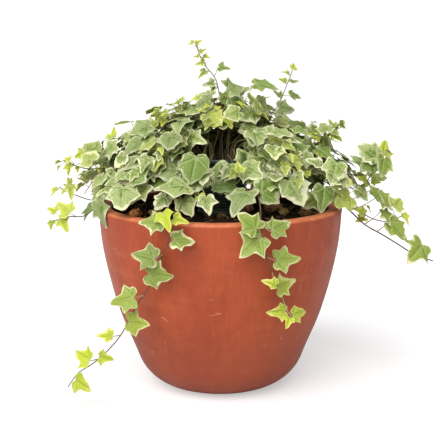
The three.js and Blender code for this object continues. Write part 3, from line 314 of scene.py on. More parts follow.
class IvySettings(bpy.types.PropertyGroup):
    young_green: bpy.props.FloatVectorProperty(
        name="Young green", description="Colour of a leaf that has just opened",
        default=tone(208, 222, 38), subtype="COLOR", min=0, max=1)
    leaf_green: bpy.props.FloatVectorProperty(
        name="Leaf green", description="Dark green of a grown leaf",
        default=tone(112, 143, 42), subtype="COLOR", min=0, max=1)
    grey_green: bpy.props.FloatVectorProperty(
        name="Grey green", description="Pale patches between the veins of a grown leaf",
        default=tone(184, 197, 128), subtype="COLOR", min=0, max=1)
    margin: bpy.props.FloatVectorProperty(
        name="Margin", description="Colour of the leaves' edge",
        default=tone(255, 254, 214), subtype="COLOR", min=0, max=1)
    stem: bpy.props.FloatVectorProperty(
        name="Stem", description="Colour of the runners' stems",
        default=tone(80, 58, 46), subtype="COLOR", min=0, max=1)
    stalk: bpy.props.FloatVectorProperty(
        name="Stalk", description="Colour of the leaf stalks",
        default=tone(226, 200, 162), subtype="COLOR", min=0, max=1)
    stem_base: bpy.props.FloatProperty(
        name="Stem radius at the roots", description="Radius of a runner where it leaves the soil",
        default=0.00098, min=0.0003, max=0.003, subtype="DISTANCE", unit="LENGTH")
    stem_tip: bpy.props.FloatProperty(
        name="Stem radius at the tip", description="Radius of a runner at its youngest end",
        default=0.0006, min=0.0002, max=0.003, subtype="DISTANCE", unit="LENGTH")
    sides: bpy.props.IntProperty(
        name="Stem sides", description="Faces around a stem", default=8, min=3, max=24)
    step: bpy.props.FloatProperty(
        name="Stem step", description="Length of one straight bit of a stem",
        default=0.003, min=0.0005, max=0.02, subtype="DISTANCE", unit="LENGTH")
    bend: bpy.props.FloatProperty(
        name="Bend", description="How much the leaves fold, droop and ripple",
        default=1.0, min=0, max=3)


class StudioSettings(bpy.types.PropertyGroup):
    key: bpy.props.FloatProperty(
        name="Key light", description="Strength of the light from the upper left",
        default=3.3, min=0, max=20)
    key_spread: bpy.props.FloatProperty(
        name="Key spread", description="How wide the key light looks: wider is softer",
        default=math.radians(66), min=0, max=math.pi, subtype="ANGLE", unit="ROTATION")
    fill: bpy.props.FloatProperty(
        name="Fill", description="Strength of the even light from all around",
        default=0.43, min=0, max=10)
    lens: bpy.props.FloatProperty(
        name="Lens", description="Focal length on a 36 mm sensor, in millimetres",
        default=73.93, min=10, max=300)
    floor: bpy.props.FloatVectorProperty(
        name="Floor", description="Colour of the floor",
        default=(0.68, 0.68, 0.68), subtype="COLOR", min=0, max=1)


# ---------- Node trees ----------


class Nodes:
    """Adds nodes to a tree. An input is given as a value or as another node's output."""

    def __init__(self, tree):
        self.tree = tree

    def add(self, kind, inputs=None, **settings):
        node = self.tree.nodes.new(kind)
        for name, value in settings.items():
            setattr(node, name, value)
        for socket, value in (inputs or {}).items():
            self.feed(node.inputs[socket], value)
        return node

    def shape(self, kind, inputs=None, **settings):
        """What a Geometry Nodes node puts out first."""
        return self.add("GeometryNode" + kind, inputs, **settings).outputs[0]

    def feed(self, socket, value):
        if isinstance(value, bpy.types.NodeSocket):
            self.tree.links.new(value, socket)
        else:
            socket.default_value = value

    def math(self, operation, first, second=0.0, clamp=False):
        inputs = {0: first, 1: second}
        return self.add("ShaderNodeMath", inputs, operation=operation, use_clamp=clamp).outputs[0]

    def times(self, first, *others):
        for other in others:
            first = self.math("MULTIPLY", first, other)
        return first

    def plus(self, first, second, clamp=False):
        return self.math("ADD", first, second, clamp)

    def minus(self, first, second):
        return self.math("SUBTRACT", first, second)

    def inverse(self, part):
        return self.minus(1.0, part)

    def drawn(self, seed, factor):
        """Another even chance from 0 to 1, made of a seed."""
        return self.math("FRACT", self.times(seed, factor))

    def vector(self, operation, first, second=(0.0, 0.0, 0.0)):
        return self.add("ShaderNodeVectorMath", {0: first, 1: second},
                        operation=operation).outputs["Vector"]

    def stretched(self, vector, scale):
        return self.add("ShaderNodeVectorMath", {0: vector, "Scale": scale},
                        operation="SCALE").outputs["Vector"]

    def length(self, vector):
        return self.add("ShaderNodeVectorMath", {0: vector}, operation="LENGTH").outputs["Value"]

    def split(self, vector):
        return self.add("ShaderNodeSeparateXYZ", {0: vector}).outputs

    def join(self, x=0.0, y=0.0, z=0.0):
        return self.add("ShaderNodeCombineXYZ", {0: x, 1: y, 2: z}).outputs[0]

    def span(self, value, start, end, low=0.0, high=1.0, smooth=True):
        """The value between start and end, turned into low to high."""
        inputs = {"Value": value, "From Min": start, "From Max": end, "To Min": low, "To Max": high}
        blend = "SMOOTHSTEP" if smooth else "LINEAR"
        return self.add("ShaderNodeMapRange", inputs, interpolation_type=blend).outputs[0]

    def between(self, part, low, high):
        """Low where the part is 0, high where it is 1."""
        return self.span(part, 0.0, 1.0, low, high)

    def mix(self, factor, first, second):
        return self.add("ShaderNodeMix", {0: factor, 6: first, 7: second},
                        data_type="RGBA").outputs[2]

    def layered(self, colour, *layers):
        """A colour with others laid over it, each given as its share and itself."""
        for share, layer in layers:
            colour = self.mix(share, colour, layer)
        return colour

    def noise(self, vector, scale, detail=3.0, rough=0.55, warp=0.0):
        inputs = {"Vector": vector, "Scale": scale, "Detail": detail, "Roughness": rough,
                  "Distortion": warp}
        return self.add("ShaderNodeTexNoise", inputs).outputs[0]

    def cells(self, vector, scale, feature="F1"):
        return self.add("ShaderNodeTexVoronoi", {"Vector": vector, "Scale": scale},
                        feature=feature).outputs["Distance"]

    def scaled(self, vector, size):
        return self.add("ShaderNodeMapping", {"Vector": vector, "Scale": size}).outputs[0]

    def bump(self, height, strength, distance):
        inputs = {"Height": height, "Strength": strength, "Distance": distance}
        return self.add("ShaderNodeBump", inputs).outputs[0]

    def own(self, name, output="Fac"):
        """An attribute of the piece, read by a material."""
        return self.add("ShaderNodeAttribute", attribute_name=name).outputs[output]

    def named(self, name, kind="FLOAT"):
        """An attribute of the geometry, read by Geometry Nodes."""
        node = self.add("GeometryNodeInputNamedAttribute", {"Name": name}, data_type=kind)
        return node.outputs["Attribute"]

    def finished(self, geometry, finish):
        return self.shape("SetMaterial", {"Geometry": geometry, "Material": finish})

    def smooth(self, geometry):
        return self.shape("SetShadeSmooth", {"Geometry": geometry})

    def realized(self, instances):
        return self.shape("RealizeInstances", {"Geometry": instances})

    def both(self, first, second):
        joined = self.add("GeometryNodeJoinGeometry", {"Geometry": first})
        self.feed(joined.inputs[0], second)
        return joined.outputs[0]

    def put_out(self, **values):
        """Feeds the tree's outputs and gives back the tree."""
        out = next(node for node in self.tree.nodes if node.bl_idname == "NodeGroupOutput")
        for name, value in values.items():
            self.feed(out.inputs[name], value)
        return self.tree


FLOAT, COLOUR, VECTOR = "NodeSocketFloat", "NodeSocketColor", "NodeSocketVector"
WHOLE, SHAPE, FINISH = "NodeSocketInt", "NodeSocketGeometry", "NodeSocketMaterial"
COLLECTION = "NodeSocketCollection"


def open_tree(name, kind, outputs, *inputs):
    """A new tree with named inputs and outputs, and the Nodes that fill it."""
    tree = bpy.data.node_groups.new(name, kind)
    for label, socket, *default in inputs:
        entry = tree.interface.new_socket(name=label, in_out="INPUT", socket_type=socket)
        if default:
            entry.default_value = default[0]
    for label, socket in outputs.items():
        tree.interface.new_socket(name=label, in_out="OUTPUT", socket_type=socket)
    nodes = Nodes(tree)
    nodes.add("NodeGroupOutput")
    return nodes, nodes.add("NodeGroupInput").outputs


def shader_tree(name, outputs, *inputs):
    return open_tree(name, "ShaderNodeTree", outputs, *inputs)


def shape_tree(name, *inputs):
    return open_tree(name, "GeometryNodeTree", {"Geometry": SHAPE}, *inputs)


def place_group(nodes, name, build, **inputs):
    """One use of a shader node group inside a material. The first use builds the group."""
    tree = bpy.data.node_groups.get(name) or build(name)
    return nodes.add("ShaderNodeGroup", inputs, node_tree=tree).outputs


def mottle_group(name):
    """Two colours in soft patches with finer specks in them."""
    nodes, given = shader_tree(
        name, {"Color": COLOUR, "Mask": FLOAT}, ("Vector", VECTOR), ("Scale", FLOAT, 20.0),
        ("Low", COLOUR), ("High", COLOUR), ("Specks", FLOAT, 0.3))
    broad = nodes.noise(given["Vector"], given["Scale"], 4.0, 0.6)
    fine = nodes.noise(given["Vector"], nodes.times(given["Scale"], 9.0), 3.0, 0.6)
    speck = nodes.times(nodes.minus(fine, 0.5), given["Specks"])
    mask = nodes.span(nodes.plus(broad, speck), 0.36, 0.64)
    return nodes.put_out(Color=nodes.mix(mask, given["Low"], given["High"]), Mask=mask)


def scuffs_group(name):
    """A mask of short thin scratches that lie mostly one way."""
    nodes, given = shader_tree(
        name, {"Mask": FLOAT}, ("Vector", VECTOR), ("Scale", FLOAT, 14.0),
        ("Width", FLOAT, 0.012), ("Amount", FLOAT, 0.1))
    line = nodes.noise(given["Vector"], given["Scale"], 2.0, 0.4, 0.3)
    near = nodes.math("ABSOLUTE", nodes.minus(line, 0.5))
    thin = nodes.inverse(nodes.span(near, 0.0, given["Width"]))
    where = nodes.noise(nodes.vector("ADD", given["Vector"], (3.1, 7.7, 1.3)), given["Scale"], 3.0)
    edge = nodes.minus(0.74, given["Amount"])
    return nodes.put_out(Mask=nodes.times(thin, nodes.span(where, edge, nodes.plus(edge, 0.05))))


def grit_group(name):
    """Height of a rough, slightly pitted surface."""
    nodes, given = shader_tree(
        name, {"Height": FLOAT}, ("Vector", VECTOR), ("Scale", FLOAT, 300.0),
        ("Pits", FLOAT, 0.3))
    soft = nodes.noise(given["Vector"], given["Scale"], 4.0, 0.6)
    dots = nodes.cells(given["Vector"], given["Scale"])
    return nodes.put_out(Height=nodes.plus(soft, nodes.times(nodes.span(dots, 0.0, 0.35),
                                                             given["Pits"])))


def mottled(nodes, vector, scale, specks, low, high):
    return place_group(nodes, "Mottle", mottle_group, Vector=vector, Scale=scale, Specks=specks,
                       Low=low, High=high)


def scuffed(nodes, vector, scale, width, much):
    return place_group(nodes, "Scuffs", scuffs_group, Vector=vector, Scale=scale, Width=width,
                       Amount=much)["Mask"]


def gritty(nodes, vector, scale, pits):
    return place_group(nodes, "Grit", grit_group, Vector=vector, Scale=scale, Pits=pits)["Height"]


def open_material(name):
    """A new material with its Principled shader, and the Nodes that fill it."""
    material = bpy.data.materials.new(name)
    material.use_nodes = True
    material.node_tree.nodes.clear()
    nodes = Nodes(material.node_tree)
    shader = nodes.add("ShaderNodeBsdfPrincipled")
    out = nodes.add("ShaderNodeOutputMaterial", {"Surface": shader.outputs[0]})
    return material, nodes, shader, out


def surface(nodes, shader, colour, rough, specular, normal):
    """Feeds what every finish of the plant and its pots has."""
    for socket, value in (("Base Color", colour), ("Roughness", rough),
                          ("Specular IOR Level", specular), ("Normal", normal)):
        nodes.feed(shader.inputs[socket], value)


def here(nodes):
    return nodes.add("ShaderNodeTexCoord").outputs["Object"]


# ---------- Materials ----------


def terracotta(settings):
    """Satin clay paint: brushed up and down, mottled and scratched, worn on the lip with a painted
    highlight there, and darkened towards the foot by painted shade.
    """
    material, nodes, shader, _ = open_material("Terracotta")
    spot = here(nodes)
    clay, dark = rgba(settings.clay), rgba(settings.dark_clay)
    worn = rgba(settings.wear_and_highlight_clay)
    patches = mottled(nodes, nodes.scaled(spot, (1, 1, 0.55)), 11.0, 0.35, dark, clay)
    brushed = nodes.noise(nodes.scaled(spot, (1, 1, 0.035)), 260.0, 3.0, 0.6)
    banded = nodes.noise(nodes.scaled(spot, (0.25, 0.25, 1.6)), 46.0, 4.0, 0.55)
    level = nodes.split(spot)[2]
    flat = scuffed(nodes, nodes.scaled(spot, (0.35, 0.35, 1.6)), 34.0, 0.010, 0.12)
    upright = scuffed(nodes, nodes.scaled(spot, (1.5, 1.5, 0.2)), 40.0, 0.010, 0.11)
    scratches = nodes.math("MAXIMUM", flat, nodes.times(upright, 0.5))
    # The lip's top band is lightened: partly wear, partly a painted highlight.
    on_lip = nodes.span(level, PLANTER_HEIGHT - 0.004, PLANTER_HEIGHT - 0.0012)
    lip_wear_and_highlight = nodes.span(nodes.noise(spot, 90.0, 4.0, 0.65), 0.3, 0.72, 0.25, 0.8)
    radius = nodes.length(nodes.scaled(spot, (1, 1, 0)))
    wall = RIM_RADIUS - LIP_WIDTH
    # The inner wall above the bed is darker, in patches.
    inner = nodes.times(nodes.span(radius, wall + 0.002, wall - 0.001),
                        nodes.span(level, 0.205, 0.208))
    inner_darkening = nodes.span(nodes.noise(spot, 60.0, 5.0, 0.7), 0.3, 0.6, 0.35, 0.9)
    colour = nodes.layered(
        nodes.mix(0.6, clay, patches["Color"]),
        (nodes.times(nodes.span(brushed, 0.35, 0.68), 0.26), dark),
        (nodes.times(nodes.span(banded, 0.52, 0.74), 0.10), worn),
        # painted shade: the wall darkens towards the foot, where it curves under
        (nodes.times(nodes.span(level, 0.13, 0.0), 0.5), ink(134, 70, 54)),
        (nodes.times(scratches, 0.75), worn),
        # wear on the lip together with a painted highlight along its top
        (nodes.times(on_lip, lip_wear_and_highlight), worn),
        (nodes.times(inner, inner_darkening), ink(70, 42, 30)))
    rough = nodes.plus(nodes.between(patches["Mask"], 0.50, 0.40), nodes.times(scratches, 0.25))
    height = nodes.plus(nodes.times(gritty(nodes, spot, 420.0, 0.4), 0.35),
                        nodes.times(brushed, 0.65))
    height = nodes.minus(height, nodes.times(scratches, 0.8))
    surface(nodes, shader, colour, rough, 0.22, nodes.bump(height, 0.30, 0.0007))
    return material


def soil_finish(name, fibre_colour, dark, light):
    """Crumbly damp soil."""
    material, nodes, shader, _ = open_material(name)
    spot = here(nodes)
    patches = mottled(nodes, spot, 120.0, 0.8, rgba(dark), rgba(light))
    fibre = nodes.noise(nodes.scaled(spot, (1.0, 0.3, 1.0)), 700.0, 2.0, 0.5, 0.6)
    colour = nodes.layered(
        patches["Color"],
        (nodes.span(nodes.cells(spot, 420.0), 0.25, 0.6, 0.0, 0.6), rgba(dark)),
        (nodes.span(fibre, 0.66, 0.74, 0.0, 0.35), rgba(fibre_colour)))
    surface(nodes, shader, colour, nodes.between(patches["Mask"], 0.7, 0.95), 0.3,
            nodes.bump(gritty(nodes, spot, 500.0, 0.7), 0.9, 0.0012))
    return material


def bark_finish(name, dark, light, tinted):
    """Split bark: grain along the chunk, darker in its cracks. A scattered piece has its own tint."""
    material, nodes, shader, _ = open_material(name)
    spot = here(nodes)
    colour = mottled(nodes, nodes.scaled(spot, (1.0, 2.4, 2.0)), 95.0, 0.7, rgba(dark),
                     rgba(light))["Color"]
    grain = nodes.noise(nodes.scaled(spot, (0.4, 2.2, 3.0)), 420.0, 4.0, 0.65, 0.5)
    cracks = nodes.inverse(nodes.span(grain, 0.34, 0.56))
    colour = nodes.mix(nodes.times(cracks, 0.75 if tinted else 0.4), colour, rgba(dark))
    if tinted:
        tint = nodes.own("tint")
        colour = nodes.mix(nodes.span(tint, 0.45, 0.95), rgba(dark), colour)
        colour = nodes.mix(nodes.span(tint, 0.5, 0.0, 0.0, 0.7), colour, ink(24, 17, 13))
    height = nodes.plus(nodes.times(gritty(nodes, spot, 600.0, 0.5), 0.3), grain)
    surface(nodes, shader, colour, nodes.span(grain, 0.3, 0.7, 0.9, 0.65), 0.3,
            nodes.bump(height, 0.85, 0.0009))
    return material


def plastic_finish(settings):
    """Thin green plastic, dusty and a little scratched."""
    material, nodes, shader, _ = open_material("Nursery plastic")
    spot = here(nodes)
    patches = mottled(nodes, spot, 40.0, 0.4, rgba(settings.plastic), ink(40, 72, 54))
    dust = nodes.noise(spot, 130.0, 5.0, 0.7)
    low = nodes.span(nodes.split(spot)[2], NURSERY_BASE + 0.022, NURSERY_BASE, 0.12, 0.5)
    colour = nodes.layered(
        patches["Color"],
        (nodes.times(nodes.span(dust, 0.45, 0.7), low), ink(112, 96, 74)),
        (nodes.times(scuffed(nodes, spot, 70.0, 0.015, 0.16), 0.4), ink(128, 150, 134)))
    surface(nodes, shader, colour, nodes.span(dust, 0.35, 0.7, 0.28, 0.6), 0.5,
            nodes.bump(gritty(nodes, spot, 380.0, 0.3), 0.2, 0.0004))
    return material


def veins_group(name):
    """Lines that fan out from the stalk, and the side veins that leave them."""
    nodes, given = shader_tree(name, {"Main": FLOAT, "Side": FLOAT, "Height": FLOAT},
                               ("Flat", VECTOR), ("Seed", FLOAT, 0.0))
    lift = nodes.times(given["Seed"], 17.0)
    shift = nodes.vector("ADD", given["Flat"], nodes.join(lift, 0.0, lift))
    warp = nodes.add("ShaderNodeTexNoise", {"Vector": shift, "Scale": 3.2, "Detail": 1.0})
    sway = nodes.stretched(
        nodes.vector("SUBTRACT", warp.outputs["Color"], (0.5, 0.5, 0.5)), 0.09)
    x, y, _ = nodes.split(nodes.vector("ADD", given["Flat"], sway))
    reach = nodes.math("SQRT", nodes.plus(nodes.times(x, x), nodes.times(y, y)))
    turn = nodes.math("ARCTAN2", nodes.math("ABSOLUTE", x), y)
    gap, along = 9.0, 0.0
    for angle in VEIN_TURNS:
        off = nodes.minus(turn, angle)
        across = nodes.times(reach, nodes.math("ABSOLUTE", nodes.math("SINE", off)))
        ahead = nodes.times(reach, nodes.math("COSINE", off))
        across = nodes.plus(across, nodes.math("LESS_THAN", ahead, 0.0))
        nearer = nodes.math("LESS_THAN", across, gap)
        along = nodes.plus(nodes.times(ahead, nearer), nodes.times(along, nodes.inverse(nearer)))
        gap = nodes.math("MINIMUM", across, gap)
    width = nodes.span(reach, 0.0, 1.0, 0.017, 0.005, smooth=False)
    main = nodes.inverse(nodes.span(gap, width, nodes.times(width, 2.2)))
    steps = nodes.math("DIVIDE", nodes.minus(along, nodes.times(gap, 1.15)), VEIN_STEP)
    rung = nodes.math("ABSOLUTE", nodes.minus(nodes.math("FRACT", steps), 0.5))
    side = nodes.times(nodes.inverse(nodes.span(rung, 0.02, 0.10)), nodes.span(gap, 0.24, 0.05))
    height = nodes.minus(nodes.span(gap, 0.0, 0.09), nodes.times(side, 0.1))
    return nodes.put_out(Main=main, Side=side, Height=height)


def variegation_group(name):
    """Masks of a leaf's cream edge, of the pale patches inside it and of dark flecks."""
    nodes, given = shader_tree(
        name, {"Edge": FLOAT, "Patch": FLOAT, "Fleck": FLOAT}, ("Flat", VECTOR),
        ("Rim", FLOAT, 0.0), ("Seed", FLOAT, 0.0), ("Width", FLOAT, 0.2))
    lift = nodes.times(given["Seed"], 31.0)
    spot = nodes.vector("ADD", given["Flat"], nodes.join(lift, lift, 0.0))
    ragged = nodes.times(nodes.minus(nodes.noise(spot, 8.0, 5.0, 0.66), 0.5), 0.72)
    broad = nodes.times(nodes.minus(nodes.noise(spot, 1.7, 2.0, 0.5), 0.5), 0.7)
    reach = nodes.plus(nodes.plus(given["Rim"], ragged), broad)
    start = nodes.inverse(given["Width"])
    inner = nodes.plus(nodes.times(given["Rim"], 0.30),
                       nodes.noise(nodes.vector("ADD", spot, (4.3, 1.7, 2.9)), 4.0, 6.0, 0.7))
    fleck = nodes.noise(nodes.vector("ADD", spot, (9.1, 2.2, 5.0)), 17.0, 4.0, 0.65)
    return nodes.put_out(Edge=nodes.span(reach, start, nodes.plus(start, 0.07)),
                         Patch=nodes.span(inner, 0.58, 0.64), Fleck=nodes.span(fleck, 0.54, 0.64))


def leaf_finish(settings):
    """Variegated ivy: green inside, grey-green patches, a ragged cream edge, pale veins."""
    material, nodes, shader, out = open_material("Ivy leaf")
    flat = nodes.own("flat", "Vector")
    rim, age, seed, deep, hanging, size = (
        nodes.own(name) for name in ("rim", "age", "seed", "deep", "hanging", "size"))
    veins = place_group(nodes, "Leaf veins", veins_group, Flat=flat, Seed=seed)
    width = nodes.plus(nodes.span(nodes.drawn(seed, 7.3), 0.3, 1.0, 0.09, 0.27),
                       nodes.span(size, 0.030, 0.012, 0.0, 0.12))
    masks = place_group(nodes, "Variegation", variegation_group, Flat=flat, Rim=rim, Seed=seed,
                        Width=width)
    ripe = nodes.times(nodes.span(age, 0.15, 0.72), nodes.between(hanging, 1.0, 0.78))
    # A few leaves are plain green, with less of a pattern and less of an edge.
    plain = nodes.times(nodes.span(nodes.drawn(seed, 11.9), 0.76, 0.84), nodes.inverse(hanging))

    shade = nodes.times(nodes.between(nodes.drawn(seed, 3.7), 0.0, 0.6), ripe,
                        nodes.between(hanging, 1.0, 0.4))
    green = nodes.layered(
        rgba(settings.young_green), (ripe, rgba(settings.leaf_green)),
        (shade, ink(148, 176, 74)), (nodes.times(plain, ripe), ink(112, 148, 34)))
    pale = nodes.mix(ripe, ink(222, 230, 84), rgba(settings.grey_green))
    patch = nodes.times(masks["Patch"], nodes.span(age, 0.0, 0.5, 0.35, 0.9),
                        nodes.between(hanging, 1.0, 0.25), nodes.between(plain, 1.0, 0.3))
    fleck = nodes.times(masks["Fleck"], nodes.span(age, 0.1, 0.8, 0.12, 0.6))
    net = nodes.cells(nodes.vector("ADD", flat, nodes.join(seed, 0.0, seed)), 13.0,
                      "DISTANCE_TO_EDGE")
    lines = nodes.plus(nodes.times(veins["Main"], 0.46), nodes.times(veins["Side"], 0.2), True)
    cream = nodes.layered(
        ink(242, 238, 112), (ripe, rgba(settings.margin)),
        (nodes.span(nodes.noise(flat, 9.0, 3.0, 0.6), 0.4, 0.7, 0.0, 0.4), ink(206, 212, 146)))
    edge = nodes.times(masks["Edge"], nodes.between(nodes.inverse(deep), 0.2, 1.0),
                       nodes.between(plain, 1.0, 0.6))
    rust = nodes.times(nodes.span(rim, 0.93, 1.0), nodes.span(age, 0.35, 0.7, 0.0, 0.55))
    worn = nodes.span(nodes.noise(flat, 4.0), nodes.between(hanging, 0.52, 0.30), 0.66)
    under = nodes.span(nodes.split(flat)[2], -0.2, -0.6)
    colour = nodes.layered(
        green, (patch, pale), (fleck, ink(100, 130, 44)),
        (nodes.span(net, 0.08, 0.0, 0.0, 0.34), ink(206, 214, 154)),
        (nodes.times(lines, nodes.between(hanging, 1.0, 0.55)), ink(216, 220, 168)),
        # painted shade: leaves deep inside the canopy are darkened
        (nodes.times(deep, 0.72), ink(72, 106, 32)),
        (edge, cream),
        (nodes.span(nodes.drawn(seed, 5.1), 0.55, 1.0, 0.0, 0.36), ink(78, 102, 60)),
        (nodes.times(rust, worn), ink(206, 142, 106)),
        (nodes.times(under, 0.45), ink(180, 192, 130)))
    gloss = nodes.span(nodes.noise(flat, 12.0), 0.3, 0.7, 0.30, 0.46)
    surface(nodes, shader, colour, nodes.plus(gloss, nodes.times(under, 0.2)), 0.42,
            nodes.bump(veins["Height"], 0.8, 0.0009))
    glow = nodes.add("ShaderNodeBsdfTranslucent", {
        "Color": nodes.mix(0.5, colour, ink(206, 222, 70))})
    thin = nodes.add("ShaderNodeMixShader", {0: 0.27, 1: shader.outputs[0], 2: glow.outputs[0]})
    nodes.feed(out.inputs["Surface"], thin.outputs[0])
    return material


def stem_finish(settings):
    """Brown, purple and green stems and paler leaf stalks, streaked along their length."""
    material, nodes, shader, _ = open_material("Ivy stem")
    spot = here(nodes)
    stalk, age, seed, hanging = (
        nodes.own(name) for name in ("stalk", "age", "seed", "hanging"))
    woody = nodes.layered(
        mottled(nodes, spot, 70.0, 0.6, rgba(settings.stem), ink(122, 92, 74))["Color"],
        (nodes.span(seed, 0.35, 1.0, 0.0, 0.8), ink(130, 132, 62)),
        (nodes.times(hanging, 0.75), ink(122, 88, 76)),
        (nodes.span(nodes.split(spot)[2], 0.36, 0.31, 0.0, 0.5), ink(66, 60, 30)))
    greener = nodes.math("MAXIMUM", nodes.span(age, 0.6, 0.0, 0.0, 0.7),
                         nodes.minus(0.75, nodes.times(hanging, 0.75)))
    fresh = nodes.layered(
        mottled(nodes, spot, 90.0, 0.5, ink(190, 146, 112), rgba(settings.stalk))["Color"],
        (greener, ink(172, 180, 92)), (nodes.times(hanging, 0.6), ink(138, 116, 84)))
    streak = nodes.noise(spot, 900.0, 2.0, 0.6)
    surface(nodes, shader, nodes.mix(stalk, woody, fresh), nodes.span(streak, 0.3, 0.7, 0.42, 0.66),
            0.4, nodes.bump(streak, 0.35, 0.0004))
    return material


# ---------- Meshes ----------


def put_down(name, data, collection=None):
    """A new object at the origin, in the scene or in another collection."""
    thing = bpy.data.objects.new(name, data)
    (collection or bpy.context.scene.collection).objects.link(thing)
    return thing


def lay_out(name, points, faces=(), edges=(), collection=None):
    """A mesh object of points and what joins them."""
    mesh = bpy.data.meshes.new(name)
    mesh.from_pydata([tuple(p) for p in points], edges, faces)
    mesh.update()
    return put_down(name, mesh, collection)


def note(mesh, name, kind, values):
    """Stores one value or vector for each vertex."""
    entry = mesh.attributes.new(name, kind, "POINT")
    field = "vector" if kind == "FLOAT_VECTOR" else "value"
    entry.data.foreach_set(field, np.asarray(values).reshape(-1))


def made_plain(base, name):
    """What an object's modifiers make of it, as a plain mesh object in its place."""
    graph = bpy.context.evaluated_depsgraph_get()
    mesh = bpy.data.meshes.new_from_object(
        base.evaluated_get(graph), preserve_all_data_layers=True, depsgraph=graph)
    bpy.data.objects.remove(base)
    mesh.name = name
    return put_down(name, mesh)


def grown(base, tree, values, name):
    """What a Geometry Nodes tree makes of a base object."""
    modifier = base.modifiers.new(tree.name, "NODES")
    modifier.node_group = tree
    for item in tree.interface.items_tree:
        if item.name in values:
            modifier[item.identifier] = values[item.name]
    return made_plain(base, name)


def mesh_arrays(mesh, kind=np.float64):
    """The places of a mesh's vertices, and the vertices of its triangles."""
    mesh.calc_loop_triangles()
    places = np.empty(len(mesh.vertices) * 3, kind)
    mesh.vertices.foreach_get("co", places)
    corners = np.empty(len(mesh.loop_triangles) * 3, np.int32)
    mesh.loop_triangles.foreach_get("vertices", corners)
    return places.reshape(-1, 3), corners.reshape(-1, 3)


def face_out(piece):
    """Turns the faces round when the signed volume is below zero."""
    places, corners = mesh_arrays(piece.data)
    a, b, c = (places[corners[:, k]] for k in range(3))
    if (a * np.cross(b, c)).sum() < 0:
        piece.data.flip_normals()
    return piece


def hand_over(piece, slot, *nodes):
    """Ties a finished piece to the frame."""
    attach(piece, "root")
    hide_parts(*nodes)


def curve_through(points, steps):
    """A smooth line through points, steps samples for each gap, its last point left out."""
    points = [np.asarray(p, float) for p in points]
    padded = [2 * points[0] - points[1], *points, 2 * points[-1] - points[-2]]
    line = []
    for a, b, c, d in zip(padded, padded[1:], padded[2:], padded[3:]):
        for t in np.arange(steps) / steps:
            line.append(0.5 * (2 * b + (c - a) * t + (2 * a - 5 * b + 4 * c - d) * t ** 2
                               + (3 * b - a - 3 * c + d) * t ** 3))
    return line


def turned_tree(name):
    """A wall turned about the upright axis from a row of profile points."""
    nodes, given = shape_tree(
        name, ("Profile", SHAPE), ("Segments", WHOLE, 128), ("Wobble", FLOAT, 0.0),
        ("Seed", FLOAT, 0.0), ("Finish", FINISH))
    profile, segments = given["Profile"], given["Segments"]
    count = nodes.shape("AttributeDomainSize", {"Geometry": profile})
    grid = nodes.shape("MeshGrid", {"Vertices X": nodes.plus(segments, 1), "Vertices Y": count})
    index = nodes.shape("InputIndex")
    column = nodes.math("FLOOR", nodes.math("DIVIDE", nodes.plus(index, 0.5), count))
    row = nodes.minus(index, nodes.times(column, count))
    point = nodes.shape("SampleIndex", {
        "Geometry": profile, "Index": row, "Value": nodes.shape("InputPosition")},
        data_type="FLOAT_VECTOR")
    radius, _, height = nodes.split(point)
    angle = nodes.times(nodes.math("FRACT", nodes.math("DIVIDE", column, segments)), math.tau)
    way = nodes.join(nodes.math("COSINE", angle), nodes.math("SINE", angle))
    spot = nodes.vector("ADD", nodes.stretched(way, 0.9),
                        nodes.join(given["Seed"], 0.0, nodes.times(height, 5.0)))
    push = nodes.times(nodes.minus(nodes.noise(spot, 1.6, 2.0, 0.5), 0.5),
                       nodes.times(given["Wobble"], 2.0), nodes.span(radius, 0.0, 0.03))
    wall = nodes.stretched(way, nodes.plus(radius, push))
    moved = nodes.shape("SetPosition", {
        "Geometry": grid, "Position": nodes.vector("ADD", wall, nodes.join(z=height))})
    closed = nodes.shape("MergeByDistance", {"Geometry": moved, "Distance": 1e-6})
    whole = nodes.smooth(nodes.realized(closed))
    return nodes.put_out(Geometry=nodes.finished(whole, given["Finish"]))


def turned(name, profile, segments, finish, wobble, seed):
    """A turned piece from [radius, height] points that start and end on the axis."""
    tree = bpy.data.node_groups.get("Turned wall") or turned_tree("Turned wall")
    base = lay_out(name + "_profile", [(radius, 0, height) for radius, height in profile])
    values = {"Segments": segments, "Wobble": wobble, "Seed": seed, "Finish": finish}
    return face_out(grown(base, tree, values, name))


def rib_tree():
    """Round ribs up a tapered wall."""
    nodes, given = shape_tree(
        "Ribs", ("Wall", SHAPE), ("Count", WHOLE, 12), ("Lowest", FLOAT, 0.0),
        ("Highest", FLOAT, 0.1), ("Low radius", FLOAT, 0.03), ("High radius", FLOAT, 0.04),
        ("Width", FLOAT, 0.001), ("Segments", WHOLE, 96), ("Finish", FINISH))
    ring = nodes.shape("CurvePrimitiveCircle", {"Resolution": given["Segments"], "Radius": 1.0})
    line = nodes.shape("MeshLine", {
        "Count": given["Count"], "Start Location": nodes.join(z=given["Lowest"]),
        "Offset": nodes.join(z=given["Highest"])}, mode="END_POINTS")
    level = nodes.split(nodes.shape("InputPosition"))[2]
    radius = nodes.span(level, given["Lowest"], given["Highest"], given["Low radius"],
                        given["High radius"], smooth=False)
    rings = nodes.shape("InstanceOnPoints", {
        "Points": line, "Instance": ring, "Scale": nodes.join(radius, radius, 1.0)})
    bead = nodes.shape("CurvePrimitiveCircle", {
        "Resolution": 6, "Radius": nodes.times(given["Width"], 0.5)})
    ribs = nodes.shape("CurveToMesh", {"Curve": nodes.realized(rings), "Profile Curve": bead})
    ribs = nodes.finished(nodes.smooth(ribs), given["Finish"])
    return nodes.put_out(Geometry=nodes.both(given["Wall"], ribs))


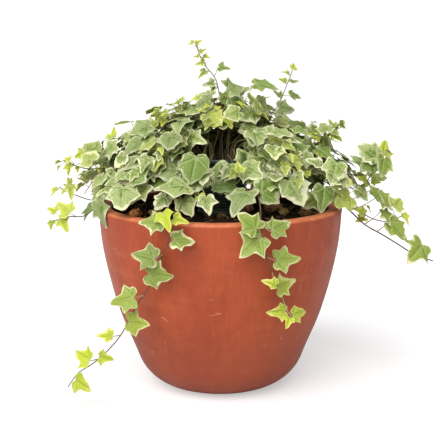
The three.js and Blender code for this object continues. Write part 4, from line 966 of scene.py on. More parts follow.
def scatter_tree():
    """Loose bits on the upward faces of a bed."""
    nodes, given = shape_tree(
        "Scattered bits", ("Bed", SHAPE), ("Bits", COLLECTION), ("Density", FLOAT, 1000.0),
        ("Smallest", FLOAT, 0.003), ("Largest", FLOAT, 0.01), ("Lowest level", FLOAT, 0.0),
        ("Seed", WHOLE, 1), ("Bit finish", FINISH))
    facing = nodes.split(nodes.shape("InputNormal"))[2]
    level = nodes.split(nodes.shape("InputPosition"))[2]
    chosen = nodes.times(nodes.math("GREATER_THAN", facing, 0.5),
                         nodes.math("GREATER_THAN", level, given["Lowest level"]))
    points = nodes.shape("DistributePointsOnFaces", {
        "Mesh": given["Bed"], "Selection": chosen, "Density": given["Density"],
        "Seed": given["Seed"]}, distribute_method="RANDOM")

    def chance(kind, low, high, step):
        start, end = {"FLOAT_VECTOR": (0, 0), "FLOAT": (2, 1), "INT": (4, 2)}[kind]
        seed = nodes.plus(given["Seed"], step)
        return nodes.add("FunctionNodeRandomValue", {start: low, start + 1: high, "Seed": seed},
                         data_type=kind).outputs[end]

    tinted = nodes.shape("StoreNamedAttribute", {
        "Geometry": points, "Name": "tint", "Value": chance("FLOAT", 0.0, 1.0, 3)},
        data_type="FLOAT", domain="POINT")
    bits = nodes.shape("CollectionInfo", {
        "Collection": given["Bits"], "Separate Children": True, "Reset Children": True})
    spin = chance("FLOAT_VECTOR", (-0.5, -0.5, -math.pi), (0.5, 0.5, math.pi), 5)
    scale = nodes.math("POWER", chance("FLOAT", 0.0, 1.0, 7), 1.8)
    scale = nodes.span(scale, 0.0, 1.0, given["Smallest"], given["Largest"], smooth=False)
    placed = nodes.shape("InstanceOnPoints", {
        "Points": tinted, "Instance": bits, "Pick Instance": True,
        "Instance Index": chance("INT", 0, 20, 9), "Scale": scale,
        "Rotation": nodes.add("FunctionNodeEulerToRotation", {0: spin}).outputs[0]})
    bits = nodes.finished(nodes.realized(placed), given["Bit finish"])
    return nodes.put_out(Geometry=nodes.both(given["Bed"], bits))


def runner_tree():
    """A runner: stems and stalks swept along their lines, and leaves bent on their places."""
    nodes, given = shape_tree(
        "Ivy runner", ("Lines", SHAPE), ("Leaves", COLLECTION), ("Sides", WHOLE, 8),
        ("Step", FLOAT, 0.003), ("Bend", FLOAT, 1.0), ("Leaf finish", FINISH),
        ("Stem finish", FINISH))
    spots = nodes.shape("MeshToPoints", {
        "Mesh": given["Lines"], "Selection": nodes.named("is_leaf", "BOOLEAN")})
    facing = nodes.named("facing", "FLOAT_VECTOR")
    turn = nodes.add("FunctionNodeAxesToRotation", {
        "Primary Axis": facing, "Secondary Axis": nodes.named("ahead", "FLOAT_VECTOR")},
        primary_axis="Z", secondary_axis="Y")
    shapes = nodes.shape("CollectionInfo", {
        "Collection": given["Leaves"], "Separate Children": True, "Reset Children": True})
    placed = nodes.shape("InstanceOnPoints", {
        "Points": spots, "Instance": shapes, "Pick Instance": True,
        "Instance Index": nodes.named("kind", "INT"), "Rotation": turn.outputs[0],
        "Scale": nodes.named("size")})
    x, y, _ = nodes.split(nodes.named("flat", "FLOAT_VECTOR"))
    fold, droop, cup = nodes.split(nodes.named("bend", "FLOAT_VECTOR"))
    ripple, phase, twist = nodes.split(nodes.named("ripple", "FLOAT_VECTOR"))
    around = nodes.math("ARCTAN2", x, nodes.minus(y, LEAF_MIDDLE[1]))
    wave = nodes.math("SINE", nodes.plus(nodes.times(around, 5.0), phase))
    edge = nodes.times(ripple, nodes.math("POWER", nodes.named("rim"), 2.5))
    lift = nodes.times(fold, nodes.math("ABSOLUTE", x))
    lift = nodes.minus(lift, nodes.times(droop, nodes.times(y, nodes.math("MAXIMUM", y, 0.0))))
    lift = nodes.minus(lift, nodes.times(cup, nodes.times(x, x)))
    lift = nodes.plus(lift, nodes.times(twist, nodes.times(x, y)))
    lift = nodes.plus(lift, nodes.times(wave, edge))
    lift = nodes.times(lift, nodes.times(given["Bend"], nodes.named("size")))
    bent = nodes.shape("SetPosition", {
        "Geometry": nodes.realized(placed), "Offset": nodes.stretched(facing, lift)})
    leaves = nodes.finished(bent, given["Leaf finish"])

    lines = nodes.shape("MeshToCurve", {"Mesh": given["Lines"]})
    curved = nodes.shape("CurveSplineType", {"Curve": lines}, spline_type="CATMULL_ROM")
    evened = nodes.shape("ResampleCurve", {"Curve": curved, "Length": given["Step"]},
                         mode="LENGTH")
    section = nodes.shape("CurvePrimitiveCircle", {"Resolution": given["Sides"], "Radius": 1.0})
    swept = nodes.shape("CurveToMesh", {
        "Curve": evened, "Profile Curve": section, "Scale": nodes.named("thick"),
        "Fill Caps": True})
    stems = nodes.finished(nodes.smooth(swept), given["Stem finish"])
    return nodes.put_out(Geometry=nodes.both(stems, leaves))


# ---------- Leaf shapes ----------


def half_outline(knots, steps, chance):
    """One half of a leaf's outline, a little different each time, smooth between its points."""
    middle = np.array(LEAF_MIDDLE)
    polar = [(math.atan2(x, y - middle[1]), math.hypot(x, y - middle[1])) for x, y, _ in knots]
    moved = []
    for index, (angle, reach) in enumerate(polar):
        if 0 < index < len(polar) - 1:
            gap = min(abs(polar[index - 1][0] - angle), abs(polar[index + 1][0] - angle))
            angle += gap * chance.uniform(-0.28, 0.28)
            reach *= 1 + chance.uniform(-0.07, 0.07)
        moved.append(middle + reach * np.array([math.sin(angle), math.cos(angle)]))
    corners = [index for index, (_, _, sharp) in enumerate(knots) if sharp]
    line = []
    for start, end in zip(corners, corners[1:]):
        line += curve_through(moved[start:end + 1], steps)
    return line + [moved[-1]]


def nearest_vein(x, y):
    turn = math.atan2(abs(x), y)
    reach = math.hypot(x, y)
    return min(reach * abs(math.sin(turn - angle)) if abs(turn - angle) < math.pi / 2 else reach
               for angle in VEIN_TURNS)


def leaf_shape(name, knots, all_rings, steps, chance, collection):
    """A thin closed leaf one unit long, its stalk at the origin and its tip along +Y."""
    right = half_outline(knots, steps, chance)
    left = [p * (-1, 1) for p in half_outline(knots, steps, chance)]
    rim_line = right + left[:-1][::-1]
    middle = np.array(LEAF_MIDDLE)
    count = len(rim_line)
    puff = chance.uniform(0.016, 0.03)
    points, flats, rims = [], [], []

    def add(part, spot, side):
        groove = math.exp(-(nearest_vein(*spot) / VEIN_GROOVE) ** 2)
        sheet = puff * (1 - groove) * (1 - part ** 3)
        points.append((spot[0], spot[1], sheet + side * LEAF_THICK * (1 - part ** 6)))
        flats.append((spot[0], spot[1], side))
        rims.append(part)

    for side in (1, -1):
        add(0.0, middle, side)
        for part in all_rings[1:-1]:
            for spot in rim_line:
                add(part, middle + part * (spot - middle), side)
    for spot in rim_line:
        add(1.0, spot, 0)
    layer = 1 + count * (len(all_rings) - 2)
    edge = 2 * layer
    faces = []
    for start, way in ((0, -1), (layer, 1)):
        starts = [*range(start + 1, start + layer, count), edge]
        for k in range(count):
            after = (k + 1) % count
            faces.append((start, starts[0] + k, starts[0] + after)[::way])
            for inner, outer in zip(starts, starts[1:]):
                faces.append((inner + k, outer + k, outer + after, inner + after)[::way])
    leaf = lay_out(name, points, faces, collection=collection)
    leaf.data.shade_smooth()
    note(leaf.data, "flat", "FLOAT_VECTOR", flats)
    note(leaf.data, "rim", "FLOAT", rims)
    face_out(leaf)
    sharp = leaf.data.attributes.new("sharp_edge", "BOOLEAN", "EDGE")
    for entry, bar in zip(sharp.data, leaf.data.edges):
        entry.value = all(k >= edge for k in bar.vertices)


def leaf_collection():
    """All leaf shapes, in full detail and then, for the filling leaves, in less."""
    chance = np.random.default_rng(11)
    collection = bpy.data.collections.new("Leaf shapes")
    knots = [BROAD] * BROAD_KINDS + [FIVE_LOBED] * POINTED_KINDS + [THREE_LOBED] * YOUNG_KINDS
    for row, (rings, steps) in enumerate(((LEAF_RINGS, 2), (LIGHT_RINGS, 1))):
        for index, outline in enumerate(knots):
            leaf_shape(f"leaf_{row}{index:02d}", outline, rings, steps, chance, collection)
    return collection


def drop_collection(collection):
    for shape in list(collection.objects):
        bpy.data.objects.remove(shape)
    bpy.data.collections.remove(collection)


# ---------- Reading a runner off its CAD node ----------


def merged(mesh):
    """Vertices and triangles of a mesh, its doubles merged."""
    places, corners = mesh_arrays(mesh, np.float32)
    points, index = np.unique(places.round(7), axis=0, return_inverse=True)
    triangles = index.reshape(-1)[corners]
    whole = [len(set(triangle)) == 3 for triangle in triangles.tolist()]
    return points.astype(float), triangles[whole]


def neighbours(triangles):
    near = {}
    for a, b, c in triangles.tolist():
        for first, second in ((a, b), (b, c), (c, a)):
            near.setdefault(first, set()).add(second)
            near.setdefault(second, set()).add(first)
    return near


def around(near, group):
    """Every vertex next to one of a group."""
    return set().union(*(near[k] for k in group))


def flat_faces(points, triangles):
    """Normal and vertices of each group of triangles that lie in one plane and touch."""
    a, b, c = (points[triangles[:, k]] for k in range(3))
    normals = np.cross(b - a, c - a)
    areas = np.linalg.norm(normals, axis=1)
    normals /= np.maximum(areas, TINY)[:, None]
    offsets = (normals * a).sum(1)
    parent = list(range(len(triangles)))

    def root(index):
        while parent[index] != index:
            index = parent[index]
        return index

    owners = {}
    for index, (a, b, c) in enumerate(triangles.tolist()):
        if areas[index] < TINY:
            continue
        for bar in ((a, b), (b, c), (c, a)):
            bar = tuple(sorted(bar))
            for other in owners.get(bar, ()):
                level = abs(offsets[index] - offsets[other]) < PLANE_SLACK
                if level and normals[index] @ normals[other] > SAME_WAY:
                    parent[root(index)] = root(other)
            owners.setdefault(bar, []).append(index)
    groups = {}
    for index in range(len(triangles)):
        groups.setdefault(root(index), []).append(index)
    return [(normals[max(group, key=lambda k: areas[k])], np.unique(triangles[group]))
            for group in groups.values() if len(group) >= FEWEST_TRIANGLES]


def read_blade(points, near, normal, members):
    """The leaf whose underside is this flat face, or None when the face is something else."""
    up = -normal
    level = points[members[0]] @ up
    members = members.tolist()
    members = [k for k in sorted(around(near, members).union(members))
               if abs(points[k] @ up - level) < LEVEL_SLACK]
    spots = points[members]
    for i, j in permutations(range(len(members)), 2):
        gap = spots[j] - spots[i]
        width = np.linalg.norm(gap)
        if abs(width - PETIOLE_BAR) > LEVEL_SLACK:
            continue
        across = gap / width
        ahead = np.cross(up, across)
        base = (spots[i] + spots[j]) / 2
        local = (spots - base) @ np.stack([across, ahead], 1)
        tips = [k for k, (x, y) in enumerate(local) if abs(x) < TIP_SLACK and y > SHORTEST_BLADE]
        if not tips:
            continue
        tip = max(tips, key=lambda k: local[k, 1])
        length = local[tip, 1]
        lobes = CAD_THREE_LOBES if length < FIVE_LOBED_FROM else CAD_FIVE_LOBES
        wanted = [(side * x * length, y * length) for x, y in lobes for side in (1, -1)]
        gaps = [np.hypot(local[:, 0] - x, local[:, 1] - y) for x, y in wanted]
        if max(gap.min() for gap in gaps) > CORNER_SLACK:
            continue
        corners = {members[k] for k in (*(gap.argmin() for gap in gaps), tip, i, j)}
        return {"base": base, "axes": np.stack([across, ahead, up]), "length": length,
                "corners": corners, "ends": {members[i], members[j]}}
    return None


def read_stalk(points, near, leaf):
    """Adds the leaf's age and the line of its stalk, and returns the vertices that both use."""
    own = set(leaf["corners"])
    ends = set(leaf["ends"])
    leaf["age"] = 0.5
    for k in around(near, leaf["corners"]) - own:
        x, y, z = leaf["axes"] @ (points[k] - leaf["base"])
        if abs(x) > CORNER_SLACK:
            continue
        middle = abs(y - BLADE_MIDDLE * leaf["length"]) < CORNER_SLACK
        if middle and 0.5 * YOUNG_RISE < z < HIGHEST_MIDDLE:
            leaf["age"] = float(np.clip((z - YOUNG_RISE) / AGE_RISE, 0, 1))
            own.add(k)
        elif abs(y) < CORNER_SLACK and abs(z - NECK_HEIGHT) < CORNER_SLACK:
            own.add(k)
            ends.add(k)
    leaf["stalk"] = [leaf["base"]]
    ring = around(near, ends) - own
    if ring:
        centre = points[list(ring)].mean(0)
        x, y, z = leaf["axes"] @ (centre - leaf["base"])
        behind = abs(x) < KNEE_SLACK and abs(y + KNEE_BACK) < KNEE_SLACK
        if len(ring) == 3 and behind and KNEE_DEEPEST < z < KNEE_HIGHEST:
            leaf["stalk"].append(centre)
            own |= ring
            ring = around(near, ring) - own
        if ring:
            leaf["stalk"].append(points[list(ring)].mean(0))
    return own | ring


def ring_centre(group):
    """Centre of a stem's ring from the vertices that are left of it, or None."""
    tried = range(min(len(group), MOST_TRIED))
    for pick in combinations(tried, 5):
        five = group[list(pick)]
        middle = five.mean(0)
        if abs(np.linalg.norm(five - middle, axis=1) - STEM_RADIUS).max() < RING_SLACK:
            return middle
    if len(group) < 4:
        return None
    for pick in combinations(tried, 3):
        a, b, c = group[list(pick)]
        ab, ac = b - a, c - a
        cross = np.cross(ab, ac)
        size = cross @ cross
        if size < THINNEST:
            continue
        arm = (np.cross(cross, ab) * (ac @ ac) + np.cross(ac, cross) * (ab @ ab)) / (2 * size)
        if abs(np.linalg.norm(arm) - STEM_RADIUS) < TIP_SLACK:
            return a + arm
    return None


def read_stem(points, used):
    """The middle line of a runner's stem, from its roots to its tip."""
    spots = points[[k for k in range(len(points)) if k not in used]]
    left, centres = set(range(len(spots))), []
    while left:
        todo = [min(left)]
        left.discard(todo[0])
        group = list(todo)
        while todo:
            k = todo.pop()
            near = [j for j in sorted(left) if np.linalg.norm(spots[j] - spots[k]) < RING_GAP]
            left.difference_update(near)
            todo += near
            group += near
        centre = ring_centre(spots[group])
        if centre is not None:
            centres.append(centre)
    line = [centres.pop(min(range(len(centres)), key=lambda k: abs(centres[k][2] - ROOT_LEVEL)))]
    heading = np.array([0.0, 0.0, 1.0])
    while centres:
        steps = [centre - line[-1] for centre in centres]
        costs = [np.linalg.norm(step) * 1.4 - 0.4 * (step @ heading) for step in steps]
        best = min(range(len(centres)), key=lambda k: costs[k])
        if np.linalg.norm(steps[best]) > LONGEST_BIT:
            break
        heading = steps[best] / np.linalg.norm(steps[best])
        line.append(centres.pop(best))
    return line


def read_runner(mesh):
    """The leaves and the stem of one CAD runner."""
    points, triangles = merged(mesh)
    near = neighbours(triangles)
    faces = flat_faces(points, triangles)
    leaves = [leaf for leaf in (read_blade(points, near, *face) for face in faces) if leaf]
    leaves.sort(key=lambda leaf: tuple(leaf["base"].round(5)))
    used = set()
    for leaf in leaves:
        used |= read_stalk(points, near, leaf)
    return leaves, read_stem(points, used)


def nearest_on(line, point):
    """The point of a line that is nearest to another."""
    feet = []
    for a, b in zip(line, line[1:]):
        step = b - a
        part = float(np.clip((point - a) @ step / max(np.linalg.norm(step) ** 2, TINY), 0, 1))
        feet.append(a + step * part)
    return min(feet, key=lambda foot: np.linalg.norm(point - foot))


# ---------- Runners ----------


class RunnerLines:
    """Points, edges and values that the runner tree reads."""

    KINDS = {
        "is_leaf": "BOOLEAN", "kind": "INT", "size": "FLOAT", "age": "FLOAT", "seed": "FLOAT",
        "thick": "FLOAT", "stalk": "FLOAT", "deep": "FLOAT", "hanging": "FLOAT",
        "facing": "FLOAT_VECTOR", "ahead": "FLOAT_VECTOR", "bend": "FLOAT_VECTOR",
        "ripple": "FLOAT_VECTOR",
    }

    def __init__(self):
        self.points, self.edges = [], []
        self.values = {name: [] for name in self.KINDS}

    def add(self, point, **given):
        self.points.append(point)
        for name, kind in self.KINDS.items():
            blank = (0.0, 0.0, 0.0) if kind == "FLOAT_VECTOR" else 0
            self.values[name].append(given.get(name, blank))

    def line(self, points, thicks, **given):
        start = len(self.points)
        for point, thick in zip(points, thicks):
            self.add(point, thick=thick, **given)
        self.edges += [(k, k + 1) for k in range(start, len(self.points) - 1)]

    def object(self, name):
        base = lay_out(name + "_lines", self.points, edges=self.edges)
        for attribute, kind in self.KINDS.items():
            note(base.data, attribute, kind, self.values[attribute])
        return base


def share_of(value, start, end):
    """0 up to the start, 1 from the end on."""
    return float(np.clip((value - start) / (end - start), 0, 1))


def runner_lines(name, settings, chance):
    """Lays out one runner as the CAD node has it, and fills it up with smaller leaves."""
    leaves, stem = read_runner(NODES[name].data)
    trailing, tall = name in TRAILING, name in TALL_SHOOTS
    lines = RunnerLines()
    thicks = np.linspace(settings.stem_base, settings.stem_tip, len(stem))
    thicks *= OUTWARD_THICKER if name == OUTWARD else 1.0
    thicks *= SHOOT_THINNER if tall else 1.0
    lines.line(stem, thicks, age=1.0, seed=chance.uniform(), hanging=float(trailing))
    for leaf in leaves:
        _, ahead, up = leaf["axes"]
        base, length, age = leaf["base"], leaf["length"], leaf["age"]
        crown = share_of(base[2], CANOPY_LEVEL, CROWN_LEVEL)
        swell = OUTWARD_SWELL if name == OUTWARD else TRAILING_SWELL
        large = LARGE
        if not trailing:
            aside = share_of(abs(base[0]), SIDE_FROM, SIDE_TO)
            age *= 1 if tall else 1 + (CROWN_YOUTH - 1) * crown
            age *= 1 + (SIDE_YOUTH - 1) * aside
            swell = LEAF_SWELL + (CROWN_SWELL - LEAF_SWELL) * crown
            swell *= 1 + (SIDE_SWELL - 1) * aside
            swell *= YOUNG_SWELL if age < YOUNG_UNTIL else 1.0
            large -= CROWN_LESS * crown
        length *= swell
        length = min(length, large + (length - large) * LARGE_KEPT)
        foot = nearest_on(stem, leaf["stalk"][-1])
        knee = leaf["stalk"][1] if len(leaf["stalk"]) > 2 else base - ahead * 0.002 - up * 0.001
        add_leaf(lines, chance, base, ahead, up, length, age, (knee, foot), trailing)
    if not trailing and not tall:
        add_fillers(lines, chance, stem)
        add_inner_leaves(lines, chance, stem)
    return lines


def add_leaf(lines, chance, base, ahead, up, length, age, stalk, hanging=False, light=False,
             deep=0.0):
    """One leaf on its stalk. The stalk is its knee under the blade and its foot on the stem."""
    young = length < FIVE_LOBED_FROM or age < YOUNG_UNTIL
    kind = chance.integers(BROAD_KINDS)
    if young:
        kind = BROAD_KINDS + POINTED_KINDS + chance.integers(YOUNG_KINDS)
    elif hanging or chance.uniform() < POINTED_SHARE:
        kind = BROAD_KINDS + chance.integers(POINTED_KINDS)
    kind += ALL_KINDS if light else 0
    bend = (chance.uniform(*FOLD), chance.uniform(*DROOP), chance.uniform(*CUP))
    if young:
        bend = (chance.uniform(*YOUNG_FOLD), chance.uniform(*YOUNG_DROOP), 0.0)
    ripple = (chance.uniform(*RIPPLE), chance.uniform(0, math.tau), chance.uniform(*TWIST))
    shared = {"age": age, "seed": chance.uniform(0, 1), "hanging": float(hanging)}
    lines.add(base, is_leaf=1, kind=int(kind), size=length, deep=deep, facing=tuple(up),
              ahead=tuple(ahead), bend=bend, ripple=ripple, **shared)
    knee, foot = stalk
    way = foot - knee
    sag = np.cross(way, [chance.uniform(-1, 1), chance.uniform(-1, 1), 0.0]) * STALK_SAG
    thin = (HANGING_STALK_THIN if hanging else STALK_THIN) + STALK_THICKENS * length
    start = base + ahead * 0.0012 + up * 0.0002
    lines.line([start, base - ahead * 0.0006 - up * 0.0003, knee, knee + way * 0.5 + sag, foot],
               [thin * 0.8, thin, thin, thin, thin * 1.5], stalk=1.0, **shared)


def has_room(spot, inner):
    """True where a filling leaf hides no open place and cuts no pot."""
    x, y, z = spot
    radius = math.hypot(x, y)
    if radius > RIM_REACH and z < RIM_CLEAR or radius < NURSERY_REACH and z < NURSERY_CLEAR:
        return False
    front, back = OPENING_DEEP
    if abs(x) < OPENING_HALF and front < y < back and z < OPENING_TOP:
        return y < OPENING_FRONT and OPENING_SILL[0] < z < OPENING_SILL[1]
    inner_floor, floor = FRONT_FLOOR if y < FRONT else BACK_FLOOR
    return z > (inner_floor if inner else floor)


def walk_stem(stem, start, step, chance):
    """Points along a stem: each one's place, its share of the way and the way out from the pot."""
    gaps = [np.linalg.norm(b - a) for a, b in zip(stem, stem[1:])]
    walked = np.concatenate([[0.0], np.cumsum(gaps)])
    for way in np.arange(start, walked[-1], step):
        way += chance.uniform(-0.4, 0.4) * step
        foot = np.array([np.interp(way, walked, [p[k] for p in stem]) for k in range(3)])
        out = np.array([foot[0], foot[1], 0.0]) / max(math.hypot(foot[0], foot[1]), 1e-6)
        yield foot, min(way / walked[-1], 1.0), out


def any_way(chance):
    """A level direction."""
    turn = chance.uniform(0, math.tau)
    return np.array([math.cos(turn), math.sin(turn), 0.0])


def add_filling_leaf(lines, chance, base, foot, up, ahead, length, age, deep):
    """Adds a leaf that the CAD node lacks, unless it would hide an open place or cut a pot."""
    up = up / np.linalg.norm(up)
    ahead = ahead - up * (ahead @ up)
    ahead /= np.linalg.norm(ahead)
    inner = deep > 0
    if has_room(base, inner) and has_room(base + ahead * length, inner):
        knee = base - ahead * 0.0018 - up * 0.0012
        add_leaf(lines, chance, base, ahead, up, length, age, (knee, foot), light=True,
                 deep=deep)


def add_fillers(lines, chance, stem):
    """Smaller leaves between the laid out ones."""
    for foot, part, out in walk_stem(stem, ROOTED_WAY, FILLER_STEP, chance):
        crown = share_of(foot[2], CANOPY_LEVEL, CROWN_LEVEL)
        for _ in range((2 if foot[1] < FRONT else 1) + round(CROWN_CROWDING * crown)):
            push = any_way(chance)
            base = foot + (push * 0.8 + out * 0.3) * chance.uniform(*FILLER_OFF)
            base[2] += chance.uniform(*FILLER_RISE)
            up = np.array(FILLER_FACING) + out * 0.55 + chance.normal(0, FILLER_UNEVEN, 3)
            ahead = push * 0.7 + out * 0.8 - np.array([0, 0, 0.35])
            length = chance.uniform(*FILLER_LENGTH) * (1.1 - 0.5 * part) * (1 - 0.1 * crown)
            age = np.clip(0.95 - 0.6 * part + chance.uniform(-0.35, 0.15), 0.08, 1)
            if base[1] < FILLER_FRONT:
                length *= FRONT_SWELL
                age = max(age, FRONT_AGE) if length > FRONT_LONG else age
            add_filling_leaf(lines, chance, base, foot, up, ahead, length, float(age), 0.0)


def add_inner_leaves(lines, chance, stem):
    """Old leaves under the others, which close the canopy; their finish paints deep shade on them."""
    backwards = stem[-1][1] > BACKWARDS
    start, step = (0.01, INNER_STEP * 0.75) if backwards else (ROOTED_WAY, INNER_STEP)
    sink = BACK_SINK if backwards else FRONT_SINK
    for foot, part, out in walk_stem(stem, start, step, chance):
        if part > INNER_PART or math.hypot(foot[0], foot[1]) > INNER_REACH:
            break
        for _ in range(3 if backwards else 1):
            push = any_way(chance)
            base = foot + push * chance.uniform(*INNER_OFF)
            base[2] -= chance.uniform(*sink)
            up = np.array(INNER_FACING) + out * 0.5 + chance.normal(0, INNER_UNEVEN, 3)
            length = chance.uniform(*INNER_LENGTH)
            add_filling_leaf(lines, chance, base, foot, up, push + out * 0.5, length, 1.0, 1.0)


# ---------- Beds ----------


def circle(radius, count):
    """Even points around the upright axis."""
    angles = [math.tau * k / count for k in range(count)]
    return [(radius * math.cos(angle), radius * math.sin(angle)) for angle in angles]


def bark_bits(seed):
    """Small split pieces of bark, one unit long."""
    chance = np.random.default_rng(seed)
    collection = bpy.data.collections.new("Bark bits")
    for index in range(BIT_KINDS):
        wide, thick = chance.uniform(0.35, 0.75), chance.uniform(0.14, 0.34)
        points, faces = [], []
        for step, (along, swell) in enumerate(BIT_RINGS):
            for x, y in circle(0.5, BIT_SIDES):
                reach = swell * chance.uniform(0.75, 1.2)
                points.append((along + chance.uniform(-0.06, 0.06), wide * reach * x,
                               thick * reach * y))
            start = step * BIT_SIDES
            faces += [(start - BIT_SIDES + k, start - BIT_SIDES + (k + 1) % BIT_SIDES,
                       start + (k + 1) % BIT_SIDES, start + k)
                      for k in range(BIT_SIDES if step else 0)]
        faces += [tuple(range(BIT_SIDES))[::-1], tuple(range(start, start + BIT_SIDES))]
        face_out(lay_out(f"bit_{index}", points, faces, collection=collection))
    return collection


def uneven_bed(name, rings, levels, sides, bumps, seed, finish):
    """A closed bed: a lumpy round top over a plain wall. Sides are [radius, height], downwards."""
    points = [(0.0, 0.0, levels(0.0, 0.0))]
    for radius in rings:
        fade = min(1.0, (rings[-1] - radius) / BED_FADE)
        for x, y in circle(radius, BED_SEGMENTS):
            lump = noise.fractal(Vector((x, y, seed)) * BED_LUMPS, 0.6, 2.1, 4) * bumps * fade
            points.append((x, y, levels(radius, lump)))
    for radius, height in sides:
        points += [(x, y, height) for x, y in circle(radius, BED_SEGMENTS)]
    last = len(points) - BED_SEGMENTS
    points.append((0.0, 0.0, sides[-1][1]))
    faces = []
    for k in range(BED_SEGMENTS):
        after = (k + 1) % BED_SEGMENTS
        faces.append((0, 1 + k, 1 + after))
        for loop in range(1, last, BED_SEGMENTS):
            a, b = loop + k, loop + after
            faces.append((a, a + BED_SEGMENTS, b + BED_SEGMENTS, b))
        faces.append((last + k, len(points) - 1, last + after))
    bed = lay_out(name, points, faces)
    bed.data.shade_smooth()
    bed.data.materials.append(finish)
    return face_out(bed)


def scattered(bed, name, bits_seed, finish, **values):
    """A bed with loose bits on it."""
    bits = bark_bits(bits_seed)
    values = {label.replace("_", " "): value for label, value in values.items()}
    piece = grown(bed, scatter_tree(), {"Bits": bits, "Bit finish": finish, **values}, name)
    drop_collection(bits)
    return piece


# ---------- Operators ----------


class IVY_OT_planter(bpy.types.Operator):
    """Turns the planter's wall, with its flat lip and its rounded foot"""

    bl_idname = "ivy.planter"
    bl_label = "Planter"

    def execute(self, context):
        settings = context.scene.ivy_planter
        lean = np.array([*curve_through(LEAN, 12), LEAN[-1]])

        def outer(z):
            radius = RIM_RADIUS * np.interp(z / PLANTER_HEIGHT, lean[:, 0], lean[:, 1])
            below = max(0.0, 1 - z / FOOT_ROUND)
            return radius - FOOT_ROUND * (1 - math.sqrt(1 - below * below))

        profile = [(0.0, 0.0), (outer(0) * 0.6, 0.0)]
        for turn in np.linspace(math.pi / 2, 0, 18):
            level = FOOT_ROUND * (1 - math.sin(turn))
            profile.append((outer(level), level))
        top = PLANTER_HEIGHT - LIP_ROUND
        profile += [(outer(z), z) for z in np.linspace(FOOT_ROUND, top, 56)[1:-1]]
        inner = RIM_RADIUS - LIP_WIDTH
        quarter = [(LIP_ROUND * (1 - math.cos(turn)), top + LIP_ROUND * math.sin(turn))
                   for turn in np.linspace(0, math.pi / 2, 9)]
        profile += [(RIM_RADIUS - inwards, level) for inwards, level in quarter]
        profile.append((RIM_RADIUS - LIP_WIDTH / 2, PLANTER_HEIGHT))
        profile += [(inner + outwards, level) for outwards, level in reversed(quarter)]
        for z in np.linspace(top, PLANTER_FLOOR + INNER_ROUND, 40)[1:]:
            profile.append((min(inner, outer(z) - PLANTER_WALL), z))
        profile += [(outer(0.024) - PLANTER_WALL - INNER_ROUND, PLANTER_FLOOR),
                    (0.0, PLANTER_FLOOR)]
        piece = turned("outer_planter", profile, settings.segments, terracotta(settings),
                       settings.wobble, 4.0)
        hand_over(piece, "terracotta", "outer_planter")
        return {"FINISHED"}


class IVY_OT_mulch(bpy.types.Operator):
    """Fills the planter with dark soil and scatters bark on it"""

    bl_idname = "ivy.mulch"
    bl_label = "Mulch bed"

    def execute(self, context):
        settings = context.scene.ivy_mulch

        def level(radius, lump):
            sink = BED_SINK * max(0.0, (radius - (BED_EDGE - BED_SLOPE)) / BED_SLOPE)
            quiet = 0.25 if radius < BED_QUIET else 1.0
            return BED_TOP - 0.0006 - sink + lump * quiet

        rings = [*np.linspace(0.004, BED_EDGE - 0.004, 44), BED_EDGE]
        sides = [(BED_EDGE - 0.003, 0.19), (0.1205, 0.10), (0.10, 0.045),
                 (0.07, PLANTER_FLOOR + 0.0006)]
        soil = soil_finish("Mulch soil", settings.pale_bark, settings.soil, tone(62, 46, 34))
        bark = bark_finish("Scattered bark", settings.dark_bark, settings.pale_bark, True)
        bed = uneven_bed("mulch_bed", rings, level, sides, BED_LUMP_HEIGHT, 3.0, soil)
        piece = scattered(bed, "mulch_bed", 5, bark, Density=settings.density, Smallest=0.003,
                          Largest=0.019, Lowest_level=0.2, Seed=7)
        hand_over(piece, "mulch", "mulch_bed")
        return {"FINISHED"}


class IVY_OT_bark(bpy.types.Operator):
    """Splits and roughens the loose chunks of dry bark"""

    bl_idname = "ivy.bark"
    bl_label = "Bark chunks"

    def execute(self, context):
        finishes = [bark_finish(f"Dry bark {k + 1}", tone(*dark), tone(*light), False)
                    for k, (dark, light) in enumerate(CHIP_COLOURS)]
        names = sorted(name for name in NODES if name.startswith("bark_chip_"))
        for index, name in enumerate(names):
            points, triangles = merged(NODES[name].data)
            chunk = lay_out(name + "_lump", points, triangles.tolist())
            shell = chunk.modifiers.new("Remesh", "REMESH")
            shell.mode = "VOXEL"
            shell.voxel_size = CHIP_VOXEL
            piece = made_plain(chunk, name)
            mesh = piece.data
            places = np.array([v.co for v in mesh.vertices])
            normals = np.array([v.normal for v in mesh.vertices])
            grain = Vector((math.cos(index), math.sin(index), 0.2)).normalized()
            for k, (place, normal) in enumerate(zip(places, normals)):
                spot = Vector(place)
                along = grain * spot.dot(grain)
                split = noise.fractal((spot - along * 0.8) * CHIP_SPLITS, 0.7, 2.2, 3)
                lump = noise.fractal(spot * CHIP_LUMPS, 0.6, 2.0, 2)
                places[k] += normal * (SPLIT_DEPTH * split + LUMP_DEPTH * lump)
            places = np.clip(places, points.min(0) - CHIP_SPARE, points.max(0) + CHIP_SPARE)
            mesh.vertices.foreach_set("co", places.reshape(-1))
            mesh.update()
            mesh.materials.clear()
            mesh.materials.append(finishes[index % len(finishes)])
            mesh.shade_smooth()
            hand_over(face_out(piece), "bark", name)
        return {"FINISHED"}


